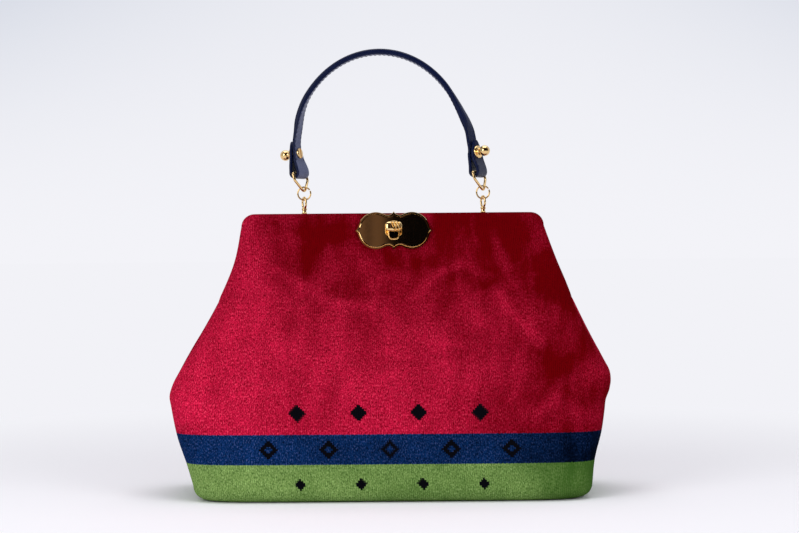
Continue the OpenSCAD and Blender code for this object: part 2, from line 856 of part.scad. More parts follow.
stud_r = 1.9;
screw_r = 1.2;
stack = leaf_off + leaf_t / 2;
flange_t = 1;
ball_out = 6.3;
flange_taper = 0.7;
stud_head_t = 1.2;
driver_w = 1.2;
driver_t = 0.5;

// Lean of the strap from the vertical at the studs
near_stud = 0.5;
stud_tilt = atan((strap_mid(stud_z + near_stud) - strap_mid(stud_z - near_stud)) / (2 * near_stud));

module stud_place(side) {
    translate([strap_mid(stud_z) + side * tab_x, axis_y, stud_z])
        rotate([0, 0, -tab_turn])
            rotate([0, side * 90 + stud_tilt, 0])
                children();
}

module ball_stud() {
    difference() {
        union() {
            translate([0, 0, -stack + lay]) cylinder(r = stud_r, h = 2 * stack);
            translate([0, 0, stack + lay])
                cylinder(d1 = flange_d, d2 = flange_d * flange_taper, h = flange_t);
            translate([0, 0, stack]) cylinder(r = stud_r, h = ball_out);
            translate([0, 0, stack + ball_out]) sphere(d = ball_d);
        }
        translate([0, 0, -stack - through]) cylinder(r = screw_r + pin_fit, h = 2 * stack + through);
    }
}

module stud_screw() {
    difference() {
        union() {
            translate([0, 0, -stack - lay / 2 - stud_head_t]) cylinder(d = head_d, h = stud_head_t);
            translate([0, 0, -stack - lay]) cylinder(r = screw_r, h = 2 * stack - lay);
        }
        translate([-head_d, -driver_w / 2, -stack - lay / 2 - stud_head_t - through])
            cube([2 * head_d, driver_w, through + driver_t]);
    }
}

module left_ball_stud() {
    color("gold") stud_place(-1) ball_stud();
}

module right_ball_stud() {
    color("gold") stud_place(1) ball_stud();
}

module left_stud_screw() {
    color("goldenrod") stud_place(-1) stud_screw();
}

module right_stud_screw() {
    color("goldenrod") stud_place(1) stud_screw();
}

base_panel();
base_board();
front_lower_panel();
rear_lower_panel();
left_gusset();
right_gusset();
lining();
left_hinge_pin();
right_hinge_pin();
front_frame();
front_facing();
front_top_panel();
lock_plate();
slot_rim();
lock_backplate();
rear_frame();
rear_facing();
rear_top_panel();
keeper();
left_handle_eye();
right_handle_eye();
turn_knob();
latch_tongue();
handle_strap();
left_round_ring();
right_round_ring();
left_d_ring();
right_d_ring();
left_ball_stud();
right_ball_stud();
left_stud_screw();
right_stud_screw();
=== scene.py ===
import json
import math

import bpy
import numpy as np
from mathutils import Matrix, Vector, noise


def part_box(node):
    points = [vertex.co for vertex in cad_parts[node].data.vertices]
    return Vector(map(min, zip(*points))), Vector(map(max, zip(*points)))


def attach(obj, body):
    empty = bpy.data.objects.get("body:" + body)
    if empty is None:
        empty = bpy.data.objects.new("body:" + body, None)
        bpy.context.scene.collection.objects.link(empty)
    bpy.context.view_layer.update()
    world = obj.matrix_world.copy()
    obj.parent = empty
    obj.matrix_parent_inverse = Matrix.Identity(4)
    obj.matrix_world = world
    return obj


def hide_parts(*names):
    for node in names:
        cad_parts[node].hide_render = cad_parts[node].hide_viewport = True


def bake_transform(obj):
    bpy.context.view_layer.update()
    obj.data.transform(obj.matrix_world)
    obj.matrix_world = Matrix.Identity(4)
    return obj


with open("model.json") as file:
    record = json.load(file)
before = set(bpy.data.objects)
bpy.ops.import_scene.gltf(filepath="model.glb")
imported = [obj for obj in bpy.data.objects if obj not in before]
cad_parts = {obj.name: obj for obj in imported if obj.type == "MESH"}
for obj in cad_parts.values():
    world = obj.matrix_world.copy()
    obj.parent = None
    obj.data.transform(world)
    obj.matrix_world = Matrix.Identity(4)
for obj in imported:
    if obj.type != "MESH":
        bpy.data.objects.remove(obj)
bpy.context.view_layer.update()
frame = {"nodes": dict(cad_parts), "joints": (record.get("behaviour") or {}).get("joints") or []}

# Velvet body. The bag is sewn from woven velvet: a front, a rear, two side gussets and a base.
# The front and rear run up over the steel frame and turn in at the mouth, and red, blue and
# green bands are woven right round. Cotton thread closes the seams from the inside.

hinge_z = next(j["pos_m"][2] for j in frame["joints"] if j["name"] == "front_open")
body_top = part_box("front_top_panel")[1].z
velvet_t = 0.002
mouth_gap = 0.0004
base_half_d = 0.068
base_roll = 0.010
top_corner = 0.010
top_half_d = 0.0124
top_roll = 0.010
roll_z = body_top - top_roll
belly = 0.003
seam_top = hinge_z - 0.006
seam_fade = 0.010
seam_degrees = (6.5, 8)
plan_steps = 800

# Height and half width along the left and the right side, which slump differently
side_line = {
    -1: [(0.010, 0.1481), (0.026, 0.1532), (0.046, 0.1601), (0.067, 0.1651), (0.0745, 0.1664),
         (0.081, 0.1650), (0.0935, 0.1588), (0.107, 0.1515), (0.1245, 0.1412), (0.147, 0.1292),
         (0.176, 0.1179), (0.198, 0.1136)],
    1: [(0.010, 0.1440), (0.0265, 0.1462), (0.047, 0.1520), (0.063, 0.1546), (0.070, 0.1557),
        (0.0765, 0.1584), (0.084, 0.1598), (0.0905, 0.1590), (0.098, 0.1553), (0.1175, 0.1453),
        (0.139, 0.1351), (0.160, 0.1260), (0.183, 0.1170), (0.198, 0.1117)],
}
ear_z = 0.078


def mix(a, b, t):
    return a + (b - a) * t


def ease(t):
    t = np.clip(t, 0, 1)
    return t * t * (3 - 2 * t)


def squared(wave, power):
    """A cosine or sine drawn out towards a square."""
    return np.sign(wave) * np.abs(wave) ** power


def half_width(z, side):
    """Half width of the body on one side, as a smooth line through its points."""
    level, width = np.array(side_line[side]).T
    slope = np.gradient(width, level)
    k = int(np.clip(np.searchsorted(level, z) - 1, 0, len(level) - 2))
    step = level[k + 1] - level[k]
    t = np.clip((z - level[k]) / step, 0, 1)
    ends = (2 * t ** 3 - 3 * t ** 2 + 1) * width[k] + (3 * t ** 2 - 2 * t ** 3) * width[k + 1]
    return ends + step * ((t ** 3 - 2 * t ** 2 + t) * slope[k] + (t ** 3 - t ** 2) * slope[k + 1])


def half_depth(z):
    t = np.clip((roll_z - z) / (roll_z - base_roll), 0, 1)
    return mix(top_half_d, base_half_d, t) + belly * np.sin(np.pi * t)


def squareness(z):
    return np.interp(z, [base_roll, ear_z, hinge_z, roll_z], [7, 5.5, 2.8, 8])


def seam_angle(z):
    """Angle from the side, round the body, at which a gusset meets the front."""
    below = mix(*seam_degrees, np.clip(z / seam_top, 0, 1))
    return np.radians(below * (1 - ease((z - seam_top) / seam_fade)))


def half_widths(z, drawn):
    return {side: float(half_width(z, side)) - drawn for side in (-1, 1)}


def ring_line(height, inset):
    """Plan of the body at a height along its wall: half widths, half depth, level and squareness."""
    if height < 0:
        turn = math.pi / 2 * (1 + height / base_roll)
        roll = base_roll - inset
        out = base_roll - roll * math.sin(turn)
        z = base_roll - roll * math.cos(turn)
        return half_widths(base_roll, out), base_half_d - out, z, squareness(base_roll)
    z = base_roll + height
    if z <= roll_z:
        return half_widths(z, inset), float(half_depth(z)) - inset, z, squareness(z)
    share = min(1.0, (z - roll_z) / top_roll)
    turn = share * math.acos((mouth_gap / top_half_d) ** 2)
    drawn = inset + (top_corner - inset) * (1 - math.sqrt(1 - math.sin(turn)))
    deep = (top_half_d - inset) * math.sqrt(max(0.0, math.cos(turn)))
    z = roll_z + (top_roll - inset) * math.sqrt(math.sin(turn))
    return half_widths(roll_z, drawn), deep, z, squareness(roll_z)


def ring_points(height, inset, angles):
    """Points of that plan at angles round the body, from the +X side through the front."""
    wide, deep, z, square = ring_line(height, inset)
    power = 2 / square
    cos, sin = np.cos(angles), np.sin(angles)
    x = np.where(cos > 0, wide[1], wide[-1]) * squared(cos, power)
    y = -deep * squared(sin, power)
    lift = ease((z - seam_top) / seam_fade) * mouth_gap
    y = np.where(y < 0, y - lift * (1 - np.abs(sin) ** power), y)
    return np.stack([x, y, np.full_like(x, z)], -1)


def run_along(points):
    """Distance of each point of a line from its first."""
    return np.concatenate([[0], np.cumsum(np.linalg.norm(np.diff(points, axis=0), axis=1))])


def evenly(points, count):
    """The same line with its points at even distances, and its length."""
    run = run_along(points)
    places = np.linspace(0, run[-1], count)
    return np.stack([np.interp(places, run, points[:, k]) for k in range(3)], -1), run[-1]


def panel(heights, count, inset, first, last):
    """Grid of points over a panel, and its weave: across and along the cloth, and height at rest."""
    rows, weave = [], []
    along = 0.0
    for k, height in enumerate(heights):
        z = max(0.0, base_roll + height)
        angles = np.linspace(first(z), last(z), plan_steps)
        row, width = evenly(ring_points(height, inset, angles), count)
        if k:
            along += float(np.linalg.norm(row[count // 2] - rows[-1][count // 2]))
        rows.append(row)
        across = np.linspace(-0.5, 0.5, count) * width
        weave.append(np.stack([across, np.full(count, along), row[:, 2]], -1))
    return np.array(rows), np.array(weave)


def outward(points):
    """Directions out of the cloth."""
    normal = np.cross(np.gradient(points, axis=1), np.gradient(points, axis=0))
    return normal / np.maximum(np.linalg.norm(normal, axis=2, keepdims=True), 1e-12)


def pushed(points, amount):
    """The cloth moved out of itself by an amount at each point."""
    return points + outward(points) * amount[:, :, None]


def turn_in(points):
    """Rolls the lower and side edges of a panel inwards, as they do where they are sewn."""
    sink = np.zeros(points.shape[:2])
    for edge in (points[:, :1], points[:, -1:], points[:1]):
        away = np.linalg.norm(points - edge, axis=2)
        sink = np.maximum(sink, np.clip(1 - away / seam_roll, 0, 1) ** 2)
    return pushed(points, -sink * seam_depth)


def stroke_reach(points, stroke, width):
    """How near the points lie to a line across the front: 1 on it, falling to 0 beyond its width."""
    place = points[:, :, [0, 2]]
    near = np.full(place.shape[:2], 1e9)
    for start, end in zip(stroke, stroke[1:]):
        start, end = np.array(start), np.array(end)
        run = end - start
        t = np.clip(((place - start) @ run) / (run @ run), 0, 1)
        near = np.minimum(near, np.linalg.norm(place - start - t[:, :, None] * run, axis=2))
    return np.exp(-((near / width) ** 2))


def cloth_waves(points, weave, seed, amount):
    """Slack of the cloth: shallow dents that fade out at the base and at the frame."""
    z = points[:, :, 2]
    fade = ease((z - 0.012) / 0.05) * ease((body_top - 0.024 - z) / 0.04)
    wave = np.zeros(z.shape)
    for at in np.ndindex(z.shape):
        across, along = weave[at][:2]
        wave[at] = noise.noise(Vector((across * 19, along * 13, seed)))
        wave[at] += 0.45 * noise.noise(Vector((across * 44, along * 36, seed + 7)))
    return pushed(points, wave * fade * amount)


def laid_grid(name, points, **kept):
    """A grid of faces laid on the points, with values kept on them as attributes."""
    bpy.ops.object.select_all(action="DESELECT")
    rows, cols = points.shape[:2]
    bpy.ops.mesh.primitive_grid_add(x_subdivisions=cols - 1, y_subdivisions=rows - 1)
    piece = bpy.context.object
    piece.name = piece.data.name = name
    piece.data.vertices.foreach_set("co", points.reshape(-1).astype(np.float32))
    for word, values in kept.items():
        kind, field = ("FLOAT_VECTOR", "vector") if values.ndim == 3 else ("FLOAT", "value")
        attribute = piece.data.attributes.new(word, kind, "POINT")
        attribute.data.foreach_set(field, values.reshape(-1).astype(np.float32))
    return piece


def cloth_piece(name, points, thick, **kept):
    """A grid made as thick as the cloth, inwards."""
    piece = laid_grid(name, points, **kept)
    wall = piece.modifiers.new("wall", "SOLIDIFY")
    wall.thickness = thick
    wall.offset = -1
    bpy.ops.object.modifier_apply(modifier="wall")
    bpy.ops.object.shade_smooth()
    return piece


def stretch(piece, points, weave, *rests_on):
    """Works out the width of a sheet's flat cut and the steps across and up its grid."""
    width = float((weave[:, -1, 0] - weave[:, 0, 0]).max())
    across = points[:-1, 1:] - points[:-1, :-1]
    up = points[1:, :-1] - points[:-1, :-1]


def swap_sides():
    """Lets the rear be built as a front and turned round, so that both slump to the same side."""
    side_line[-1], side_line[1] = side_line[1], side_line[-1]


def pick(piece):
    """Makes a piece the active one, and the only one selected."""
    bpy.ops.object.select_all(action="DESELECT")
    piece.select_set(True)
    bpy.context.view_layer.objects.active = piece


def weld(piece, capped=False):
    """Merges the points where a wrapped grid meets itself and turns the faces outwards."""
    pick(piece)
    bpy.ops.object.mode_set(mode="EDIT")
    bpy.ops.mesh.select_all(action="SELECT")
    bpy.ops.mesh.remove_doubles(threshold=1e-6)
    if capped:
        bpy.ops.mesh.fill_holes(sides=0)
        bpy.ops.mesh.select_all(action="SELECT")
    bpy.ops.mesh.normals_make_consistent(inside=False)
    bpy.ops.object.mode_set(mode="OBJECT")


class Sock:
    """One output of a material's nodes, so that shader maths reads as plain expressions."""

    def __init__(self, tree, output=None):
        self.tree = tree
        self.output = output

    def node(self, kind, settings=None, output=0, **inputs):
        made = self.tree.nodes.new("ShaderNode" + kind)
        for name, value in (settings or {}).items():
            setattr(made, name, value)
        sockets = {s.identifier.replace(" ", "_"): s for s in made.inputs}
        for name, value in inputs.items():
            if isinstance(value, Sock):
                self.tree.links.new(value.output, sockets[name])
            else:
                sockets[name].default_value = value
        return Sock(self.tree, made.outputs[output] if made.outputs else None)

    def math(self, operation, a, b=0.0):
        return self.node("Math", {"operation": operation}, Value=a, Value_001=b)

    def __add__(self, other):
        return self.math("ADD", self, other)

    __radd__ = __add__

    def __sub__(self, other):
        return self.math("SUBTRACT", self, other)

    def __rsub__(self, other):
        return self.math("SUBTRACT", other, self)

    def __mul__(self, other):
        return self.math("MULTIPLY", self, other)

    __rmul__ = __mul__

    def __truediv__(self, other):
        return self.math("DIVIDE", self, other)

    def __pow__(self, other):
        return self.math("POWER", self, other)

    def at_most(self, other):
        return self.math("MINIMUM", self, other)

    def at_least(self, other):
        return self.math("MAXIMUM", self, other)

    def fraction(self):
        return self.math("FRACT", self)

    def size(self):
        return self.math("ABSOLUTE", self)

    def rounded(self, step):
        return self.math("ROUND", self / step) * step

    def step(self, low, high):
        """Smooth rise from 0 at low to 1 at high."""
        smooth = {"interpolation_type": "SMOOTHSTEP"}
        return self.node("MapRange", smooth, Value=self, From_Min=low, From_Max=high)

    def noise(self, scale, detail=2.0, roughness=0.5, distortion=0.0):
        return self.node("TexNoise", Vector=self, Scale=scale, Detail=detail, Roughness=roughness,
                         Distortion=distortion)

    def blend(self, a, b):
        """Colour a where this is 0, colour b where it is 1."""
        settings = {"data_type": "RGBA", "clamp_factor": False}
        return self.node("Mix", settings, 2, Factor_Float=self, A_Color=a, B_Color=b)

    def tint(self, colour):
        """A colour made lighter or darker by this value."""
        return self.node("VectorMath", {"operation": "SCALE"}, Vector=colour, Scale=self)

    def stretched(self, scale):
        return self.node("VectorMath", {"operation": "MULTIPLY"}, Vector=self, Vector_001=scale)

    def parts(self):
        made = self.tree.nodes.new("ShaderNodeSeparateXYZ")
        self.tree.links.new(self.output, made.inputs[0])
        return [Sock(self.tree, s) for s in made.outputs]

    def bump(self, height, strength):
        return self.node("Bump", Height=self, Distance=height, Strength=strength)


def srgb(red, green, blue):
    """A colour given as it shows on screen, 0 to 255."""
    shares = [v / 255 for v in (red, green, blue)]
    return (*(s / 12.92 if s < 0.04045 else ((s + 0.055) / 1.055) ** 2.4 for s in shares), 1.0)


def finish_of(name):
    """A new material: its shader, and a start for its nodes."""
    made = bpy.data.materials.new(name)
    made.use_nodes = True
    shader = next(n for n in made.node_tree.nodes if n.type == "BSDF_PRINCIPLED")
    return made, shader, Sock(made.node_tree)


def wire_up(shader, **inputs):
    """Sets a shader's inputs to values or links."""
    for name, value in inputs.items():
        socket = shader.inputs[name.replace("_", " ")]
        if isinstance(value, Sock):
            value.tree.links.new(value.output, socket)
        else:
            socket.default_value = value


def put_on(piece, material):
    piece.data.materials.clear()
    piece.data.materials.append(material)


def settle(piece, material, slot, body, *nodes):
    """Gives a piece its finish, the body that it rides on and the solids that it stands for."""
    put_on(piece, material)
    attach(piece, body)
    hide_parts(*nodes)


blue_top = 0.0484
green_top = 0.0272
rib_pitch = 0.00145
thread_step = 0.0014
lozenge_pitch = 0.044
lozenge_half = 0.0068
motif_reach = 0.098
motif_soft = 0.0004
spots = [(0.0135, 0.0042), (0.0635, 0.0062)]
band_soft = 0.0003
hole_z = 0.192
hole_half_w = 0.0052
hole_half_h = 0.008


def velvet(name, front):
    """Woven velvet: bands, fine upright ribs, specks of pile with painted glints, patches where the pile
    lies over, and on the front painted light and shade, painted crease highlights and painted shade in the
    lock's slot.
    """
    made, shader, start = finish_of(name)
    weave = start.node("Attribute", {"attribute_name": "weave"}, 1)
    across, _, level = weave.parts()
    speck = weave.stretched((1, 0.6, 0.0)).noise(1050, 2, 0.6)
    fleck = weave.stretched((1, 0.5, 0.0)).noise(420, 2, 0.6)
    patch = weave.stretched((1, 1.3, 0.0)).noise(17, 3, 0.55, 0.6)
    streak = weave.stretched((1, 0.25, 0.0)).noise(60, 3, 0.6, 0.4)
    rib = ((across / rib_pitch).fraction() - 0.5).size().step(0.28, 0.5)
    rib = rib * (0.35 + 0.65 * weave.stretched((1, 0.35, 0.0)).noise(420, 2).step(0.35, 0.65))

    jitter = weave.stretched((1, 0.0, 0.0)).noise(700, 1) - 0.5
    level = level + jitter * 0.0013
    in_red = level.step(blue_top - band_soft, blue_top + band_soft)
    in_blue = level.step(green_top - band_soft, green_top + band_soft)

    unrest = 1.0 if front else 0.45
    nap_and_painted_light = (patch.step(0.3, 0.72) - 0.5) * 0.26 * unrest
    nap_and_painted_light = nap_and_painted_light + (streak.step(0.3, 0.75) - 0.5) * 0.18 * unrest
    if front:
        # Painted highlights along the front's creases, from the strokes kept on the cloth
        painted_crease_highlight = start.node("Attribute", {"attribute_name": "rubbed"}, 2)
        # Painted light and shade: the front is painted lighter low down and towards the left, and darker
        # higher up and towards the right
        low = 1 - level.step(0.065, 0.195)
        left = 1 - across.step(-0.115, -0.06)
        right = (across - (1 - in_red) * 0.03).step(0.03, 0.115)
        painted_light = 0.06 + low * 0.5 + left * 0.36 * (1 - low * 0.7)
        nap_and_painted_light = nap_and_painted_light + painted_light * (1 - right * 0.8) + painted_crease_highlight * 0.16
    else:
        nap_and_painted_light = nap_and_painted_light + 0.28
    grain = (fleck - 0.5) * 1.2 + (speck - 0.5) * 4.2
    # Each band blends from a dark to a light copy of its colour by this value, so the painted light and
    # shade above show in the colour
    lit = (nap_and_painted_light + grain * (0.08 + nap_and_painted_light.at_least(0.0) * 0.85)).at_least(0.0).at_most(1.6)
    red = lit.blend(srgb(98, 0, 5), srgb(220, 28, 72))
    blue = lit.blend(srgb(1, 6, 20), srgb(13, 50, 104))
    green = lit.blend(srgb(58, 92, 34), srgb(132, 164, 90))
    colour = in_red.blend(in_blue.blend(green, blue), red)
    # Painted glints: pale specks on the pile, stronger where the painted light is stronger
    painted_pile_glint = speck.step(0.54, 0.72) * nap_and_painted_light.at_least(0.0)
    colour = (painted_pile_glint * 0.09).blend(colour, srgb(236, 214, 222))
    if front:
        column = across.rounded(thread_step)
        row = level.rounded(thread_step)
        place = ((column / lozenge_pitch + 0.5).fraction() - 0.5).size() * lozenge_pitch
        reach = place + (row - (blue_top + green_top) / 2).size()
        hollow = lozenge_half * 0.38
        worked = 1 - reach.step(lozenge_half, lozenge_half + motif_soft)
        worked = worked - (1 - reach.step(hollow, hollow + motif_soft))
        between = ((column / lozenge_pitch).fraction() - 0.5).size() * lozenge_pitch
        for height, half in spots:
            spot = between + (row - height).size()
            worked = worked.at_least(1 - spot.step(half, half + motif_soft))
        near = 1 - column.size().step(motif_reach, motif_reach + 0.001)
        colour = (worked * near).blend(colour, srgb(9, 9, 14))
        # Painted shade: the cloth seen through the lock's slot is painted near black rather than cut away
        painted_slot_shade = 1 - across.size().step(hole_half_w, hole_half_w + motif_soft)
        painted_slot_shade = painted_slot_shade * (1 - (level - hole_z).size().step(hole_half_h, hole_half_h + motif_soft))
        colour = painted_slot_shade.blend(colour, srgb(16, 8, 8))
    pile = (1 - rib * 0.36).tint(colour)
    height = speck * 0.55 + fleck * 0.45 - rib * 0.35
    wire_up(shader, Base_Color=pile, Roughness=0.92, Normal=height.bump(0.0009, 0.55))
    wire_up(shader, Specular_IOR_Level=0.01)
    return made


wall_len = body_top - base_roll
roll_rows = np.linspace(-base_roll, 0, 8)[:-1]
panel_rows = np.concatenate([
    roll_rows,
    np.linspace(0, wall_len - top_roll, 112)[:-1],
    wall_len - top_roll + top_roll * np.linspace(0, 1, 14) ** 1.6,
])
panel_cols = 190
gusset_rows = np.concatenate([roll_rows, np.linspace(0, hinge_z - base_roll, 84)])
gusset_cols = 44
seam_roll = 0.0045
seam_depth = 0.0008
fold_low = hinge_z - 0.022
fold_high = hinge_z + 0.016
front_edges = (lambda z: math.pi - seam_angle(z), seam_angle)
right_edges = (seam_angle, lambda z: -seam_angle(z))
left_edges = (lambda z: math.pi + seam_angle(z), lambda z: math.pi - seam_angle(z))
rear_turn = np.array([-1, -1, 1])

# Soft creases across the front, as x and height: a sag below the lock and folds to the right ear. Their
# ridges also get painted highlights
creases = [
    [(-0.087, 0.166), (-0.066, 0.153), (-0.047, 0.142), (-0.018, 0.138)],
    [(0.014, 0.146), (0.034, 0.163), (0.052, 0.171), (0.066, 0.160)],
    [(0.074, 0.150), (0.084, 0.136), (0.096, 0.123), (0.106, 0.111)],
    [(0.104, 0.062), (0.116, 0.072)],
]
crease_w = 0.006
crease_rise = 0.0013
rubbed_w = 0.004
hollow_w = 0.008
hollow_drop = 0.011
hollow_share = 0.8

front_pile = velvet("front_velvet", True)
plain_pile = velvet("velvet", False)
for half, seed, slack, folds, turned_round, pile in (
    ("front", 3, 0.0014, creases, 1, front_pile),
    ("rear", 11, 0.0016, [], rear_turn, plain_pile),
):
    points, weave = panel(panel_rows, panel_cols, 0, *front_edges)
    points = cloth_waves(points, weave, seed, slack)
    rubbed = np.zeros(points.shape[:2])
    for crease in folds:
        near = stroke_reach(points, crease, crease_w)
        rubbed = np.maximum(rubbed, stroke_reach(points, crease, rubbed_w))
        lower = stroke_reach(points, [(x, z - hollow_drop) for x, z in crease], hollow_w)
        points = pushed(points, (near - hollow_share * lower) * crease_rise)
    points = turn_in(points) * turned_round
    piece = cloth_piece(half + "_velvet", points, velvet_t, weave=weave, rubbed=rubbed)
    put_on(piece, pile)
    half + "_half"
    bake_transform(piece)
    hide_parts(half + "_lower_panel", half + "_top_panel")
    stretch(piece, points, weave, half + "_frame", "base_board")
    swap_sides()

for word, edges in (("right", right_edges), ("left", left_edges)):
    points, weave = panel(gusset_rows, gusset_cols, 0, *edges)
    points = turn_in(points)
    piece = cloth_piece(word + "_gusset_velvet", points, velvet_t, weave=weave)
    settle(piece, plain_pile, "velvet", "root", word + "_gusset")
    stretch(piece, points, weave, "base_board")

base_shares = np.linspace(0.002, 1, 26)
base_angles = np.linspace(0, -2 * math.pi, 145)
base_edge = 1 - np.clip((1 - base_shares) * 12, 0, 1)
base_points = np.array([ring_points(-base_roll, 0, base_angles) * [s, s, 1] for s in base_shares])
base_points[:, :, 2] += base_edge[:, None] ** 2 * seam_depth * 0.4
base_velvet = cloth_piece("base_velvet", base_points, velvet_t, weave=base_points)
weld(base_velvet)
settle(base_velvet, plain_pile, "velvet", "root", "base_panel")
base_half_w = float(half_width(base_roll, 1))


# Base board and lining. A stiff board keeps the bottom flat, and a cotton twill bag lies over it,
# sewn to the facings at the mouth.

made, shader, start = finish_of("pressed_board")
fibre = start.node("TexCoord", output=3).noise(260, 4, 0.7)
wire_up(shader, Base_Color=fibre.blend(srgb(150, 118, 82), srgb(196, 164, 124)), Roughness=0.85)
wire_up(shader, Normal=fibre.bump(0.0006, 0.4))
put_on(frame["nodes"]["base_board"], made)

lining_in = velvet_t + 0.0014
lining_t = 0.0006
facing_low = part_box("front_facing")[1].z - 0.014
facing_out = abs(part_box("front_facing")[0].y)


def lining_piece(name, edges, count, top, turned_round, rests_on):
    """Panel of the lining, drawn in to the facing at its top where it reaches that high."""
    heights = np.linspace(-base_roll + 0.006, top - base_roll, 90)
    points, weave = panel(heights, count, lining_in, *edges)
    y, z = points[:, :, 1], points[:, :, 2]
    draw = ease((z - hinge_z - 0.006) / (facing_low - hinge_z - 0.006))
    points[:, :, 1] = mix(y, np.maximum(y, -facing_out - 0.0002), draw)
    points[:, :, 0] *= 1 - 0.05 * draw
    piece = cloth_piece(name, points * turned_round, lining_t, weave=weave)
    put_on(piece, twill)
    stretch(piece, points, weave, rests_on)
    return piece


twill, shader, start = finish_of("cotton_twill")
weave = start.node("Attribute", {"attribute_name": "weave"}, 1)
across, along, _ = weave.parts()
line = (((across + along) / 0.0011).fraction() - 0.5).size().step(0.1, 0.45)
slub = weave.noise(420, 3, 0.6)
tone = (line * 0.5 + slub * 0.6).at_most(1.0)
wire_up(shader, Base_Color=tone.blend(srgb(24, 30, 52), srgb(58, 68, 98)), Roughness=0.88)
wire_up(shader, Normal=(line * 0.6 + slub * 0.4).bump(0.0004, 0.5), Sheen_Weight=0.15, Sheen_Roughness=0.5)

side_top = hinge_z - 0.002
for half, side, turned_round in (("front", "right", 1), ("rear", "left", rear_turn)):
    band = half + "_facing_band"
    piece = lining_piece(half + "_lining", front_edges, 120, facing_low, turned_round, band)
    half + "_half"
    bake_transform(piece)
    piece = lining_piece(side + "_side_lining", right_edges, 30, side_top, turned_round, "base_board")
    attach(piece, "root")
    swap_sides()

floor_wide = 1.01
floor_points = base_points * [floor_wide, floor_wide, 1]
floor_points[:, :, 2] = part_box("base_board")[1].z + 0.0004
floor_lining = cloth_piece("floor_lining", floor_points, lining_t, weave=base_points)
weld(floor_lining)
settle(floor_lining, twill, "lining_cloth", "root", "lining")


# Frame, hinge pins and facings. Two drawn steel strips are hinged at both ends by rivets and lie in
# the velvet sleeve of the mouth. A leather facing closes each sleeve on the inside.

steel, shader, start = finish_of("drawn_steel")
place = start.node("TexCoord", output=3)
drawn = place.stretched((30, 1400, 1400)).noise(1, 3, 0.6)
wire_up(shader, Base_Color=drawn.blend(srgb(150, 150, 155), srgb(196, 196, 200)), Metallic=1.0)
wire_up(shader, Roughness=0.26 + drawn * 0.2, Normal=drawn.bump(0.00005, 0.3))
for node in ("front_frame", "rear_frame", "left_hinge_pin", "right_hinge_pin", "lock_backplate",
             "latch_tongue", "keeper"):
    put_on(frame["nodes"][node], steel)


def leather(name, dark, light, gloss, lining=None):
    """Smooth calf leather with fine pores, faint creases and uneven shine."""
    made, shader, start = finish_of(name)
    place = start.node("TexCoord", output=3)
    pore = place.node("TexVoronoi", {"feature": "DISTANCE_TO_EDGE"}, Vector=place, Scale=1500.0)
    grain = pore.step(0.0, 0.16)
    cloud = place.noise(90, 3, 0.6)
    tone = (grain * 0.35 + cloud * 0.65).at_most(1.0)
    colour = tone.blend(dark, light)
    # Painted sheen: the strap's marked inner face takes a lighter blue-grey pair of colours, standing for
    # light glancing off it
    if lining:
        inner = start.node("Attribute", {"attribute_name": "lined"}, 2).step(0.4, 0.6)
        colour = inner.blend(colour, tone.blend(*lining))
    wire_up(shader, Base_Color=colour, Roughness=gloss + (cloud - 0.5) * 0.16)
    wire_up(shader, Normal=(grain * 0.6 + place.noise(700, 2) * 0.4).bump(0.00012, 0.35))
    wire_up(shader, Coat_Weight=0.03, Coat_Roughness=0.25, Specular_IOR_Level=0.13)
    return made


facing_leather = leather("facing_leather", srgb(16, 22, 42), srgb(34, 44, 72), 0.5)
for half in ("front", "rear"):
    shape = frame["nodes"][half + "_facing"].data.copy()
    band = bpy.data.objects.new(half + "_facing_band", shape)
    bpy.context.scene.collection.objects.link(band)
    weld(band)
    bevel = band.modifiers.new("edge", "BEVEL")
    bevel.width = 0.0003
    bevel.segments = 3
    bevel.limit_method = "ANGLE"
    bpy.ops.object.modifier_apply(modifier="edge")
    bpy.ops.object.shade_smooth_by_angle(angle=math.radians(40))
    settle(band, facing_leather, "lining_cloth", half + "_half", half + "_facing")


# Turn lock. A cast plate with two lobes is polished and plated in light gold, an eyelet rim is set in
# its slot, and a ribbed knob stands out of the slot on a stem.

lock_joint = next(j for j in frame["joints"] if j["name"] == "knob_turn")
lock_out = -Vector(lock_joint["axis"])
lock_side = Vector((1, 0, 0))
lock_up = lock_out.cross(lock_side)
lock_frame = Matrix((lock_side, lock_up, lock_out)).transposed().to_4x4()
lock_frame.translation = Vector(lock_joint["pos_m"])
plate_z = 0.0006
plate_t = 0.0012
field_t = 0.0007
lobe_r = 0.0136
lobe_x = 0.0133
hollow_r = 0.0050
hollow_x = 0.0045
hollow_y = math.sqrt((lobe_r + hollow_r) ** 2 - (lobe_x - hollow_x) ** 2)
tip_out = 0.0019
lobe_stretch = 1.045
slot_w = 0.0066
slot_h = 0.0132
rim_t = 0.0011
rim_rise = 0.0013
edge_z = plate_z + plate_t
face_z = edge_z + field_t


def round_turns(count):
    return np.linspace(0, 2 * math.pi, count, endpoint=False)


def arc(x, y, radius, turns):
    return np.stack([x + radius * np.cos(turns), y + radius * np.sin(turns)], -1)


